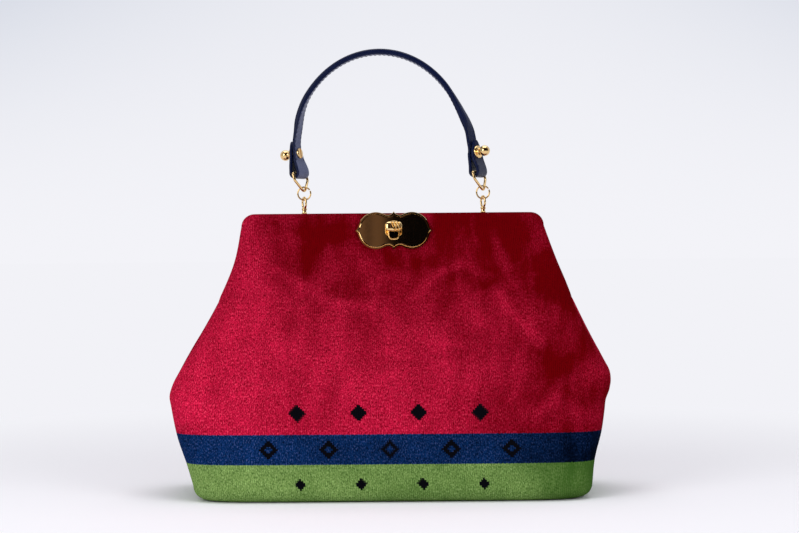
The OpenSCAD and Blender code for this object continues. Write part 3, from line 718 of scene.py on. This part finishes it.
def lobed_outline(drawn):
    """The plate's outline, drawn in from its edge: side points, lobes, hollows and middle points."""
    lobe, hollow = lobe_r - drawn, hollow_r + drawn
    leave = math.radians(15)
    meet = math.atan2(hollow_y, hollow_x - lobe_x)
    point = math.atan2(-math.sqrt(hollow ** 2 - hollow_x ** 2), -hollow_x)
    tip = np.array([lobe_x + lobe + tip_out, 0])
    hip = np.array([lobe_x + lobe * 1.005, 0.0012])
    t = np.linspace(0, 1, 8)[:-1, None]
    shoulder = arc(lobe_x, 0, lobe, np.array([leave]))
    flare = tip * (1 - t) ** 2 + hip * 2 * t * (1 - t) + shoulder * t ** 2
    quarter = np.concatenate([
        flare, arc(lobe_x, 0, lobe, np.linspace(leave, meet, 30)),
        arc(hollow_x, hollow_y, hollow, np.linspace(meet - math.pi, point, 16)[1:]),
    ])
    upper = np.concatenate([quarter, quarter[-2::-1] * [-1, 1]])
    return np.concatenate([upper, upper[-2:0:-1] * [1, -1]]) * [1, lobe_stretch]


def slot_facing(outline, width, height):
    """Points of an upright slot, each in the direction of a point of an outline round it."""
    half, shift = width / 2, (height - width) / 2
    turn = np.arctan2(outline[:, 1], outline[:, 0])
    cos, sin = np.maximum(np.abs(np.cos(turn)), 1e-9), np.abs(np.sin(turn))
    round_end = shift * sin + np.sqrt(np.maximum(half ** 2 - (shift * cos) ** 2, 0))
    reach = np.where(half / cos * sin <= shift, half / cos, round_end)
    return np.stack([reach * np.cos(turn), reach * np.sin(turn)], -1)


def at_level(outline, level):
    return np.column_stack([outline, np.full(len(outline), level)])


def wrapped(rings):
    return np.concatenate([rings, rings[:, :1]], axis=1)


def tube(name, rings, angle=50, **kept):
    """A skin through closed rings of points, capped where its ends don't meet."""
    piece = laid_grid(name, wrapped(rings), **{word: wrapped(values) for word, values in kept.items()})
    weld(piece, True)
    bpy.ops.object.shade_smooth_by_angle(angle=math.radians(angle))
    return piece


def wire_rings(path, out, normal, radius, sides):
    """Rings of a round wire along a path in one plane, given the directions out of the path."""
    turns = round_turns(sides)[None, :, None]
    return path[:, None] + radius * (np.cos(turns) * out[:, None] + np.sin(turns) * np.array(normal))


def wire_loop(path, radius, sides, normal):
    """The same along a closed path."""
    ahead = np.roll(path, -1, axis=0) - np.roll(path, 1, axis=0)
    ahead /= np.linalg.norm(ahead, axis=1, keepdims=True)
    rings = wire_rings(path, np.cross(ahead, normal), normal, radius, sides)
    return np.concatenate([rings, rings[:1]])


def slot_outline(width, height, count):
    """Upright outline with round ends."""
    half, shift = width / 2, (height - width) / 2
    return [Vector((half * math.cos(a), half * math.sin(a) + math.copysign(shift, math.sin(a))))
            for a in round_turns(count) + math.pi / count]


def flat_start(name, outline, level):
    """A filled circle moved on to an outline, in edit mode with its face selected."""
    bpy.ops.object.select_all(action="DESELECT")
    bpy.ops.mesh.primitive_circle_add(vertices=len(outline), radius=1, fill_type="NGON")
    piece = bpy.context.object
    piece.name = piece.data.name = name
    for vertex, place in zip(piece.data.vertices, outline):
        vertex.co = (place.x, place.y, level)
    piece.data.update()
    bpy.ops.object.mode_set(mode="EDIT")
    bpy.ops.mesh.select_all(action="SELECT")
    bpy.ops.mesh.normals_make_consistent(inside=False)
    bpy.ops.mesh.select_mode(type="FACE")
    bpy.ops.mesh.select_all(action="SELECT")
    return piece


def raise_face(height):
    bpy.ops.mesh.extrude_region_move(TRANSFORM_OT_translate={"value": (0, 0, height)})


def end_piece(piece, place):
    """Leaves edit mode, turns the faces outwards, shades it and puts it in its place."""
    bpy.ops.mesh.select_all(action="SELECT")
    bpy.ops.mesh.normals_make_consistent(inside=False)
    bpy.ops.object.mode_set(mode="OBJECT")
    piece.data.transform(place)
    piece.data.update()
    bpy.ops.object.shade_smooth_by_angle(angle=math.radians(35))
    return piece


def join_on(piece, other):
    """Joins another piece on to this one."""
    pick(piece)
    other.select_set(True)
    bpy.ops.object.join()


def cut_with(piece, cutter):
    """Cuts one piece out of another and deletes the cutter."""
    pick(piece)
    cut = piece.modifiers.new("cut", "BOOLEAN")
    cut.operation = "DIFFERENCE"
    cut.object = cutter
    cut.solver = "EXACT"
    bpy.ops.object.modifier_apply(modifier="cut")
    bpy.data.objects.remove(cutter)


plate_profile = [(0, plate_z), (0, edge_z - 0.0004), (0.0003, edge_z), (0.0012, edge_z),
                 (0.0013, edge_z + 0.0003), (0.0015, face_z - 0.0001), (0.0018, face_z), (0.0022, face_z)]
plate_rings = [at_level(lobed_outline(drawn), level) for drawn, level in plate_profile]
slot_edge = slot_facing(lobed_outline(0), slot_w + rim_t, slot_h)
plate_rings += [at_level(slot_edge, face_z), at_level(slot_edge, plate_z), plate_rings[0]]
lock_plate = tube("lock_plate_polished", np.array(plate_rings), 25)
lock_plate.data.transform(lock_frame)

turns = round_turns(72)
rim_path = np.stack([squared(np.cos(turns), 0.55) * (slot_w + rim_t) / 2,
                     squared(np.sin(turns), 0.55) * slot_h / 2], -1)
rim_rings = wire_loop(at_level(rim_path, 0), rim_t * 0.5, 18, (0, 0, 1.0)) * [1, 1, rim_rise / rim_t]
slot_rim = tube("slot_rim_eyelet", rim_rings)
slot_rim.data.transform(lock_frame @ Matrix.Translation((0, 0, face_z + 0.0002)))

knob_len = 0.0128
knob_w = 0.0072
knob_t = 0.0046
knob_lift = 0.0011
knob_face = face_z + 0.0100
knob_grooves = np.array([0.0003, 0.0026, 0.0049])
groove_half = 0.00055
groove_depth = 0.0015
groove_slant = 0.45
stem_w = 0.0048
stem_h = 0.0049
turns = round_turns(48)
knob_rings = []
for t in np.linspace(-1, 1, 97):
    end = max(0.0, 1 - abs(t) ** 5) ** 0.45 + 0.02
    high = knob_lift + knob_w / 2 * end * squared(np.cos(turns), 0.7)
    out = knob_t / 2 * end * squared(np.sin(turns), 0.8)
    along = np.full(48, t * knob_len / 2)
    apart = np.abs((along + high * groove_slant)[:, None] - knob_grooves).min(axis=1)
    sunk = np.exp(-((apart / groove_half) ** 2)) * np.clip(np.sin(turns) * 3, 0, 1)
    knob_rings.append(np.stack([along, high, out - groove_depth * sunk], -1))
turn_knob = tube("turn_knob_ribbed", np.array(knob_rings))
turn_knob.data.transform(Matrix.Translation((0, 0, knob_face - knob_t / 2)))
stem = flat_start("knob_stem", slot_outline(stem_w, stem_h, 32), plate_z)
raise_face(knob_face - knob_t - plate_z + 0.0008)
end_piece(stem, Matrix.Identity(4))
join_on(turn_knob, stem)
turn_knob.data.transform(lock_frame)

gold, shader, start = finish_of("polished_gold")
place = start.node("TexCoord", output=3)
haze = place.noise(260, 3, 0.6)
scratch = place.stretched((1, 1, 14)).noise(900, 2, 0.6).step(0.62, 0.75)
wire_up(shader, Base_Color=haze.blend(srgb(228, 190, 128), srgb(240, 207, 150)), Metallic=1.0)
wire_up(shader, Roughness=0.025 + haze * 0.03 + scratch * 0.04)
wire_up(shader, Normal=(haze * 0.5 + scratch * 0.1).bump(0.000005, 0.25))


def gild(piece, body, node):
    settle(piece, gold, "polished_gold", body, node)


gild(lock_plate, "front_half", "lock_plate")
gild(slot_rim, "front_half", "slot_rim")
gild(turn_knob, "knob", "turn_knob")


# Handle eyes, round rings and D-rings. Each eye is screwed through the velvet into the rear strip, a
# round jump ring of bent wire hangs in it, and a D-ring in the fold of the strap hangs in the ring.

swing = next(j for j in frame["joints"] if j["name"] == "handle_swing")
axis_y = swing["pos_m"][1]
eye_low, eye_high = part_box("right_handle_eye")
eye_x = (eye_low.x + eye_high.x) / 2
eye_r = 0.0036


def turned(name, profile, place, sides):
    """A piece turned on a lathe: a disc drawn up along its profile of radius and height."""
    radius, level = profile[0]
    disc = [Vector((math.cos(a), math.sin(a))) * radius for a in round_turns(sides)]
    piece = flat_start(name, disc, level)
    for (r0, z0), (r1, z1) in zip(profile, profile[1:]):
        raise_face(z1 - z0)
        bpy.ops.transform.resize(value=(r1 / r0, r1 / r0, 1), center_override=(0, 0, z1))
    return end_piece(piece, place)


eye_wire = 0.0008
eye_turn = math.radians(32)
loop_low = body_top + 0.0042
loop_high = eye_high.z - eye_wire
post = [(0.0013, -0.001), (0.0021, -0.0008), (0.0021, 0.0004), (0.0016, 0.0010), (0.0015, 0.0024),
        (0.0020, 0.0028), (0.0021, 0.0033), (0.0019, 0.0039), (0.0012, 0.0046)]
post_profile = [(post[0][0], eye_low.z)] + [(radius, body_top + rise) for radius, rise in post]
both_sides = ((-1, "left"), (1, "right"))
for side, word in both_sides:
    turns = round_turns(64)
    sway = squared(np.sin(turns), 0.8) * (eye_r - eye_wire) * 0.92
    loop = np.stack([np.zeros(64), sway, mix(loop_low, loop_high, 0.5 + 0.5 * np.cos(turns))], -1)
    eye = tube(word + "_handle_eye_gold", wire_loop(loop, eye_wire, 16, (1.0, 0, 0)))
    place = Matrix.Translation((side * eye_x, axis_y, 0))
    eye.data.transform(place @ Matrix.Rotation(eye_turn, 4, "Z"))
    join_on(eye, turned("eye_post", post_profile, place, 40))
    gild(eye, "rear_half", word + "_handle_eye")

ring_low, ring_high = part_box("right_round_ring")
ring_wire = 0.0006
ring_r = (ring_high.x - ring_low.x) / 2 - 0.0007
ring_z = (ring_low.z + ring_high.z) / 2
ring_split = math.radians(5)
split_at = 0.5
for side, word in both_sides:
    turns = np.linspace(split_at + ring_split, split_at + 2 * math.pi - ring_split, 72)
    out = np.stack([np.cos(turns), np.zeros(72), np.sin(turns)], -1)
    middle = np.array([side * eye_x, axis_y, ring_z]) + ring_r * out
    piece = tube(word + "_jump_ring", wire_rings(middle, out, (0, 1.0, 0), ring_wire, 14))
    gild(piece, "handle", word + "_round_ring")

tab_turn = math.radians(25)
tab_lean = -0.0036
tab_x = eye_x
dring_r = 0.001
dring_half = 0.0226 / 2 - dring_r
dring_h = 0.0138
dring_side = 0.0056
foot_r = 0.004
bend_r = 0.0016
bar_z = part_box("right_d_ring")[1].z - dring_r
dring_swing = math.asin(-tab_lean / (dring_h * math.cos(tab_turn)))
drop = dring_h - foot_r
taper = drop - dring_side
bow = math.acos(foot_r / math.hypot(dring_half, taper)) - math.atan2(taper, dring_half)
corner = [(dring_half - bend_r * (1 - math.cos(u)), bend_r * (math.sin(u) - 1))
          for u in np.linspace(math.pi / 2, 0, 8)]
leg = [(dring_half, bend_r * 0.5 - dring_side), (dring_half - 0.0001, 0.0002 - dring_side),
       (dring_half - bend_r * 0.5 * math.sin(bow), -dring_side - bend_r * 0.5 * math.cos(bow))]
foot_arc = [(foot_r * math.cos(u), -drop - foot_r * math.sin(u)) for u in np.linspace(bow, math.pi / 2, 12)]
half_path = [(dring_half * t, 0) for t in (0.25, 0.5, 0.75)] + corner + leg + foot_arc
d_path = [(0, 0)] + half_path + [(-y, z) for y, z in reversed(half_path[:-1])]
d_path = np.array([(0, y, z) for y, z in d_path])
for side, word in both_sides:
    piece = tube(word + "_d_ring_wire", wire_loop(d_path, dring_r, 16, (1.0, 0, 0)))
    piece.data.transform(Matrix.Translation((tab_lean + side * tab_x, axis_y, bar_z))
                         @ Matrix.Rotation(-tab_turn, 4, "Z") @ Matrix.Rotation(-dring_swing, 4, "Y"))
    gild(piece, "handle", word + "_d_ring")


# Handle strap. Two layers of navy calf leather are sewn together along both edges, with a cord of
# felt between them along the arch. Each end is folded round its D-ring and closed by a ball stud.

arch_lean = -0.0064
lean_h = 0.060
right_twist = 0.24
end_bow = 0.0013
strap_w = 0.0105
fold_w = 0.0175
leaf_t = 0.0026
pad_t = 0.0044
lay = 0.0003
stud_rise = 0.0146
tip_rise = 0.0092
stud_z = bar_z + stud_rise
tip_z = stud_z + tip_rise
leaf_off = leaf_t / 2 + lay / 2
fold_r = dring_r + 0.0006 + leaf_t / 2
arch_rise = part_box("handle_strap")[1].z - pad_t / 2 - stud_z
arch_half = tab_x - leaf_off + 0.0003
leaf_steps = 28
tip_steps = 9


def leaf_gap(z):
    return mix(fold_r, leaf_off, ease((z - bar_z) / (stud_rise - 0.003)))


def leaf_w(z):
    return mix(fold_w, strap_w, ease((z - bar_z - 0.003) / (stud_rise + 0.002)))


def strap_mid(z):
    bowed = ease((z - bar_z) / 0.012) * (1 - ease((z - tip_z + 0.004) / 0.014))
    return tab_lean + arch_lean * ease((z - bar_z) / lean_h) - end_bow * bowed


def strap_turn(side, z):
    """Turn of the strap about the upright: the right end is twisted further round to the front."""
    more = right_twist * ease((z - bar_z - 0.003) / 0.013) if side > 0 else 0
    return (tab_turn + more) * (1 - ease((z - tip_z) / 0.045))


def strap_end(side):
    """Places along one folded end: x, z, width, thickness, turn and offset from the tab's middle."""

    def leaf(z, gap, narrowed=1.0):
        x = strap_mid(z) + side * (tab_x + gap)
        return x, z, leaf_w(z) * narrowed, leaf_t, strap_turn(side, z), side * gap

    places = []
    for t in np.arange(leaf_steps) / leaf_steps:
        z = mix(tip_z, bar_z, t)
        places.append(leaf(z, leaf_gap(z), math.sqrt(min(1.0, 0.02 + t * leaf_steps / tip_steps))))
    for u in np.linspace(0, math.pi, 17):
        off = fold_r * math.cos(u)
        x = tab_lean + side * (tab_x + off)
        places.append((x, bar_z - fold_r * math.sin(u), fold_w, leaf_t, tab_turn, side * off))
    for t in np.linspace(0, 1, 16)[1:-1]:
        z = mix(bar_z, stud_z, t)
        places.append(leaf(z, -leaf_gap(z)))
    return places


arch = []
for u in np.linspace(math.pi, 0, 121):
    x, z = arch_half * math.cos(u), stud_z + arch_rise * math.sin(u)
    thick = mix(leaf_t, pad_t, ease((z - tip_z - 0.003) / 0.014))
    arch.append((strap_mid(z) + x, z, leaf_w(z), thick, strap_turn(x, z), -np.sign(x) * leaf_off))
left_end = strap_end(-1)
right_end = strap_end(1)[::-1]
strap_path = np.array(left_end + arch + right_end)


def strap_axes(path):
    """Middle, across and outward direction at each place along the strap."""
    run = np.gradient(path[:, :2], axis=0)
    ahead = run / np.linalg.norm(run, axis=1, keepdims=True)
    cos, sin, pivot = np.cos(path[:, 4]), np.sin(path[:, 4]), path[:, 5]
    middle = np.stack([path[:, 0] + pivot * (cos - 1), axis_y - pivot * sin, path[:, 1]], -1)
    across = np.stack([sin, cos, np.zeros(len(path))], -1)
    outward = np.stack([-ahead[:, 1] * cos, ahead[:, 1] * sin, ahead[:, 0]], -1)
    return middle, across, outward


def strap_section(crown):
    """Section of the strap: flat inner side of the lining layer, pressed edges and a crowned outer side."""
    edge = 0.30
    outer = [(-0.985, 0.1), (-0.94, edge), (-0.86, edge + 0.05), (-0.72, edge + 0.03),
             (-0.6, mix(edge, 0.44, crown)), (-0.4, mix(edge, 0.5, crown)), (0.0, mix(edge, 0.5, crown))]
    inner = [(-0.985, -0.28), (-0.95, -0.42), (-0.88, -0.48), (-0.6, -0.5), (-0.2, -0.5)]
    top = outer + [(-a, b) for a, b in reversed(outer[:-1])]
    low = [(-a, b) for a, b in inner] + [(a, b) for a, b in reversed(inner)]
    return np.array(top + low)


strap_line, strap_across, strap_out = strap_axes(strap_path)
rings = []
for k in range(len(strap_path)):
    width, thick = strap_path[k, 2], strap_path[k, 3]
    section = strap_section((thick - leaf_t) / (pad_t - leaf_t) * 0.9 + 0.1)
    aside = strap_across[k] * section[:, :1] * width / 2
    rings.append(strap_line[k] + aside + strap_out[k] * section[:, 1:] * thick)
lined_reach = 21
lined = np.zeros((len(strap_path), len(section)))
lined[len(left_end) - lined_reach:len(left_end) + len(arch) + lined_reach] = section[:, 1] < -0.45
handle_strap = tube("handle_strap_leather", np.array(rings), lined=lined)
# The second, lighter pair of colours is painted sheen for the inner face
strap_skin = leather("strap_leather", srgb(1, 7, 31), srgb(7, 20, 60), 0.36,
                     (srgb(52, 58, 86), srgb(94, 100, 130)))
settle(handle_strap, strap_skin, "strap_leather", "handle", "handle_strap")

stitch_step = 0.0034
stitch_len = 0.0024
stitch_r = 0.00036
seam_edge = 0.79
outer_face = 0.31
inner_face = -0.46


def stitch_row(edge, face, first, last):
    """Ends and directions of the stitches along one edge of one face of the strap."""
    width, thick = strap_path[:, 2:3], strap_path[:, 3:4]
    line = (strap_line + strap_across * (edge * width / 2) + strap_out * (face * thick))[first:last]
    run = run_along(line)
    found = []
    for place in np.arange(stitch_step, run[-1] - stitch_step, stitch_step):
        ends = [np.array([np.interp(place + off, run, line[:, k]) for k in range(3)])
                for off in (-stitch_len / 2, stitch_len / 2)]
        found.append((*ends, strap_out[first + int(np.searchsorted(run, place))]))
    return found


def sewn(name, rows):
    """All stitches of some rows as one piece: each a short thread with rounded, sunken ends."""
    bpy.ops.object.select_all(action="DESELECT")
    bpy.ops.mesh.primitive_uv_sphere_add(segments=8, ring_count=6, radius=1)
    one = bpy.context.object
    verts = np.array([v.co for v in one.data.vertices])
    faces = [tuple(p.vertices) for p in one.data.polygons]
    bpy.data.objects.remove(one)
    all_verts, all_faces = [], []
    for a, b, out in rows:
        ahead = (b - a) / np.linalg.norm(b - a)
        side = np.cross(out, ahead)
        shift = len(all_faces) // len(faces) * len(verts)
        along = verts[:, 2:] * ahead * np.linalg.norm(b - a) / 2
        all_verts.append((a + b) / 2 + along + stitch_r * (verts[:, :1] * side + verts[:, 1:2] * out))
        all_faces += [tuple(i + shift for i in f) for f in faces]
    mesh = bpy.data.meshes.new(name)
    mesh.from_pydata(np.concatenate(all_verts).tolist(), [], all_faces)
    piece = bpy.data.objects.new(name, mesh)
    bpy.context.scene.collection.objects.link(piece)
    pick(piece)
    bpy.ops.object.shade_smooth()
    return piece


run_in = 8
arch_first = len(left_end) - run_in
arch_last = arch_first + len(arch) + 2 * run_in
end_first, end_last = run_in, leaf_steps
stitches = []
for edge in (-seam_edge, seam_edge):
    stitches += stitch_row(edge, outer_face, arch_first, arch_last)
    stitches += stitch_row(edge, inner_face, arch_first, arch_last)
    stitches += stitch_row(edge, inner_face, end_first, end_last)
    stitches += stitch_row(edge, inner_face, len(strap_path) - end_last, len(strap_path) - end_first)
strap_thread = sewn("strap_stitching", stitches)
thread, shader, start = finish_of("navy_thread")
twist = start.node("TexCoord", output=3).noise(2600, 2)
wire_up(shader, Base_Color=twist.blend(srgb(3, 5, 16), srgb(14, 18, 38)), Roughness=0.75)
wire_up(shader, Normal=twist.bump(0.0001, 0.4))
put_on(strap_thread, thread)
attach(strap_thread, "handle")


# Ball studs and screws. A turned brass stud stands through both layers of each strap end, and a
# slotted screw holds it from the inner side.

stack = leaf_off + leaf_t / 2
ball_r = 0.0040
ball_out = 0.0063
flange_r = 0.0049
head_r = 0.0040
head_t = 0.0012
lean_near_stud = (strap_mid(stud_z + 0.0005) - strap_mid(stud_z - 0.0005)) / 0.001
stud_tilt = math.atan(lean_near_stud)
low = stack + lay * 0.5
ball = [(ball_r * math.cos(a), stack + ball_out + ball_r * math.sin(a))
        for a in np.radians(np.linspace(-48, 88, 24))]
stud_profile = [(0.0019, -stack + lay), (0.0019, low), (flange_r, low + 0.0001), (flange_r, low + 0.0004),
                (flange_r * 0.93, low + 0.0009), (flange_r * 0.66, low + 0.0013), (0.0027, low + 0.0016),
                (0.0025, low + 0.0021)] + ball
top = -stack - lay * 0.5
screw_profile = [(head_r * 0.55, top - head_t), (head_r * 0.85, top - head_t * 0.92),
                 (head_r * 0.97, top - head_t * 0.6), (head_r, top - head_t * 0.2), (head_r, top),
                 (0.0012, top + 0.0001), (0.0012, stack - 2 * lay)]
driver_w = 0.0014
driver_len = 0.012
for side, word in both_sides:
    place = (Matrix.Translation((strap_mid(stud_z) + side * tab_x, axis_y, stud_z))
             @ Matrix.Rotation(-strap_turn(side, stud_z), 4, "Z")
             @ Matrix.Rotation(side * math.pi / 2 + stud_tilt, 4, "Y"))
    stud = turned(word + "_stud_gold", stud_profile, place, 48)
    gild(stud, "handle", word + "_ball_stud")

    screw = turned(word + "_screw_gold", screw_profile, Matrix.Identity(4), 48)
    groove = flat_start("driver_cutter", slot_outline(driver_w, driver_len, 16), top - head_t - 0.0004)
    raise_face(0.0012)
    end_piece(groove, Matrix.Rotation(math.pi / 2, 4, "Z"))
    cut_with(screw, groove)
    screw.data.transform(place)
    bpy.ops.object.shade_smooth_by_angle(angle=math.radians(35))
    gild(screw, "handle", word + "_stud_screw")


# Studio. A pale floor runs out into the pale background, soft lamps stand to the left, to the right
# and overhead, and a dark drape behind the camera shows only in the metal.

pale = srgb(242, 242, 247)
bpy.ops.object.select_all(action="DESELECT")
bpy.ops.mesh.primitive_circle_add(vertices=96, radius=12, fill_type="NGON", location=(0, 0, -0.0002))
floor = bpy.context.object
floor.name = "floor"


def bare_nodes(owner):
    """An emptied node tree to build a surface on."""
    owner.use_nodes = True
    owner.node_tree.nodes.clear()
    return Sock(owner.node_tree)


made = bpy.data.materials.new("floor")
start = bare_nodes(made)
x, y, _ = start.node("TexCoord", output=3).parts()
far = ((x * x + y * y) ** 0.5).step(0.2, 0.75)
lit = start.node("BsdfDiffuse", Color=srgb(248, 247, 252))
glow = start.node("Emission", Color=pale)
start.node("OutputMaterial", Surface=start.node("MixShader", Fac=far, Shader=lit, Shader_001=glow))
floor.data.materials.append(made)

scene = bpy.context.scene
scene.view_settings.view_transform = "Standard"
scene.world = bpy.data.worlds.new("studio")
start = bare_nodes(scene.world)
seen = [start.node("LightPath", output=name)
        for name in ("Is Camera Ray", "Is Glossy Ray", "Is Transmission Ray")]
direct = seen[0].at_least(seen[1]).at_least(seen[2])
aside, _, up = start.node("TexCoord", output=0).parts()
# Painted shade: the backdrop is painted darker towards the top, and more so towards the sides
corner = 0.33 + 0.67 * ((aside - 0.015) / 0.205) ** 2
edge = (((up + 0.0145) / 0.12) ** 2 * corner).at_most(1.15)
sky = edge.blend(srgb(243, 243, 248), srgb(222, 225, 234))
backdrop = start.node("Background", Color=sky, Strength=1.0)
fill = start.node("Background", Color=srgb(250, 250, 255), Strength=0.34)
start.node("OutputWorld", Surface=start.node("MixShader", Fac=direct, Shader=fill, Shader_001=backdrop))


def lamp(name, place, target, size, power):
    light = bpy.data.lights.new(name, "AREA")
    light.size = size
    light.energy = power
    made = bpy.data.objects.new(name, light)
    scene.collection.objects.link(made)
    made.location = place
    made.rotation_euler = (Vector(target) - Vector(place)).to_track_quat("-Z", "Y").to_euler()
    return made


lamp("key_lamp", (-0.85, -0.95, 0.62), (0, 0, 0.12), 0.8, 7)
lamp("side_lamp", (0.95, -0.95, 0.62), (0, 0, 0.12), 0.8, 6).visible_glossy = False
lamp("top_lamp", (0.0, 0.1, 2.0), (0, 0, 0.1), 1.8, 20)

bpy.ops.object.select_all(action="DESELECT")
bpy.ops.mesh.primitive_uv_sphere_add(segments=48, ring_count=24, radius=4.0)
drape = bpy.context.object
drape.name = "dark_drape"
bpy.ops.object.mode_set(mode="EDIT")
bpy.ops.mesh.select_all(action="SELECT")
bpy.ops.mesh.bisect(plane_co=(0, -0.4, 0), plane_no=(0, 1, 0), clear_outer=True)
bpy.ops.object.mode_set(mode="OBJECT")
drape.visible_camera = drape.visible_diffuse = False
drape.visible_shadow = drape.visible_transmission = False
made = bpy.data.materials.new("drape")
start = bare_nodes(made)
x, y, _ = start.node("TexCoord", output=3).parts()
gap = ((x + 0.079) / 0.009).size().step(0.4, 1.2)
brown = x.step(-0.5, -0.16) * (1 - x.step(-0.045, -0.022)) * (0.25 + 0.75 * gap)
around = y.step(-3.3, -1.6).blend(srgb(8, 7, 10), srgb(64, 54, 46))
shade = brown.blend(around, srgb(104, 84, 76))
start.node("OutputMaterial", Surface=start.node("Emission", Color=shade))
drape.data.materials.append(made)

lens_mm = 90
sensor_mm = 36
view_distance = 1.464
view_up = math.radians(1.0)
view_roll = math.radians(-0.45)
target = Vector((0.0040, -0.03, 0.1685))
camera_data = bpy.data.cameras.new("camera")
camera_data.lens = lens_mm
camera_data.sensor_width = sensor_mm
camera = bpy.data.objects.new("camera", camera_data)
scene.collection.objects.link(camera)
back = Vector((0, -math.cos(view_up), math.sin(view_up)))
camera.location = target + back * view_distance
facing = (-back).to_track_quat("-Z", "Y").to_matrix()
camera.rotation_euler = (facing @ Matrix.Rotation(view_roll, 3, "Z")).to_euler()
scene.camera = camera

bpy.context.view_layer.update()
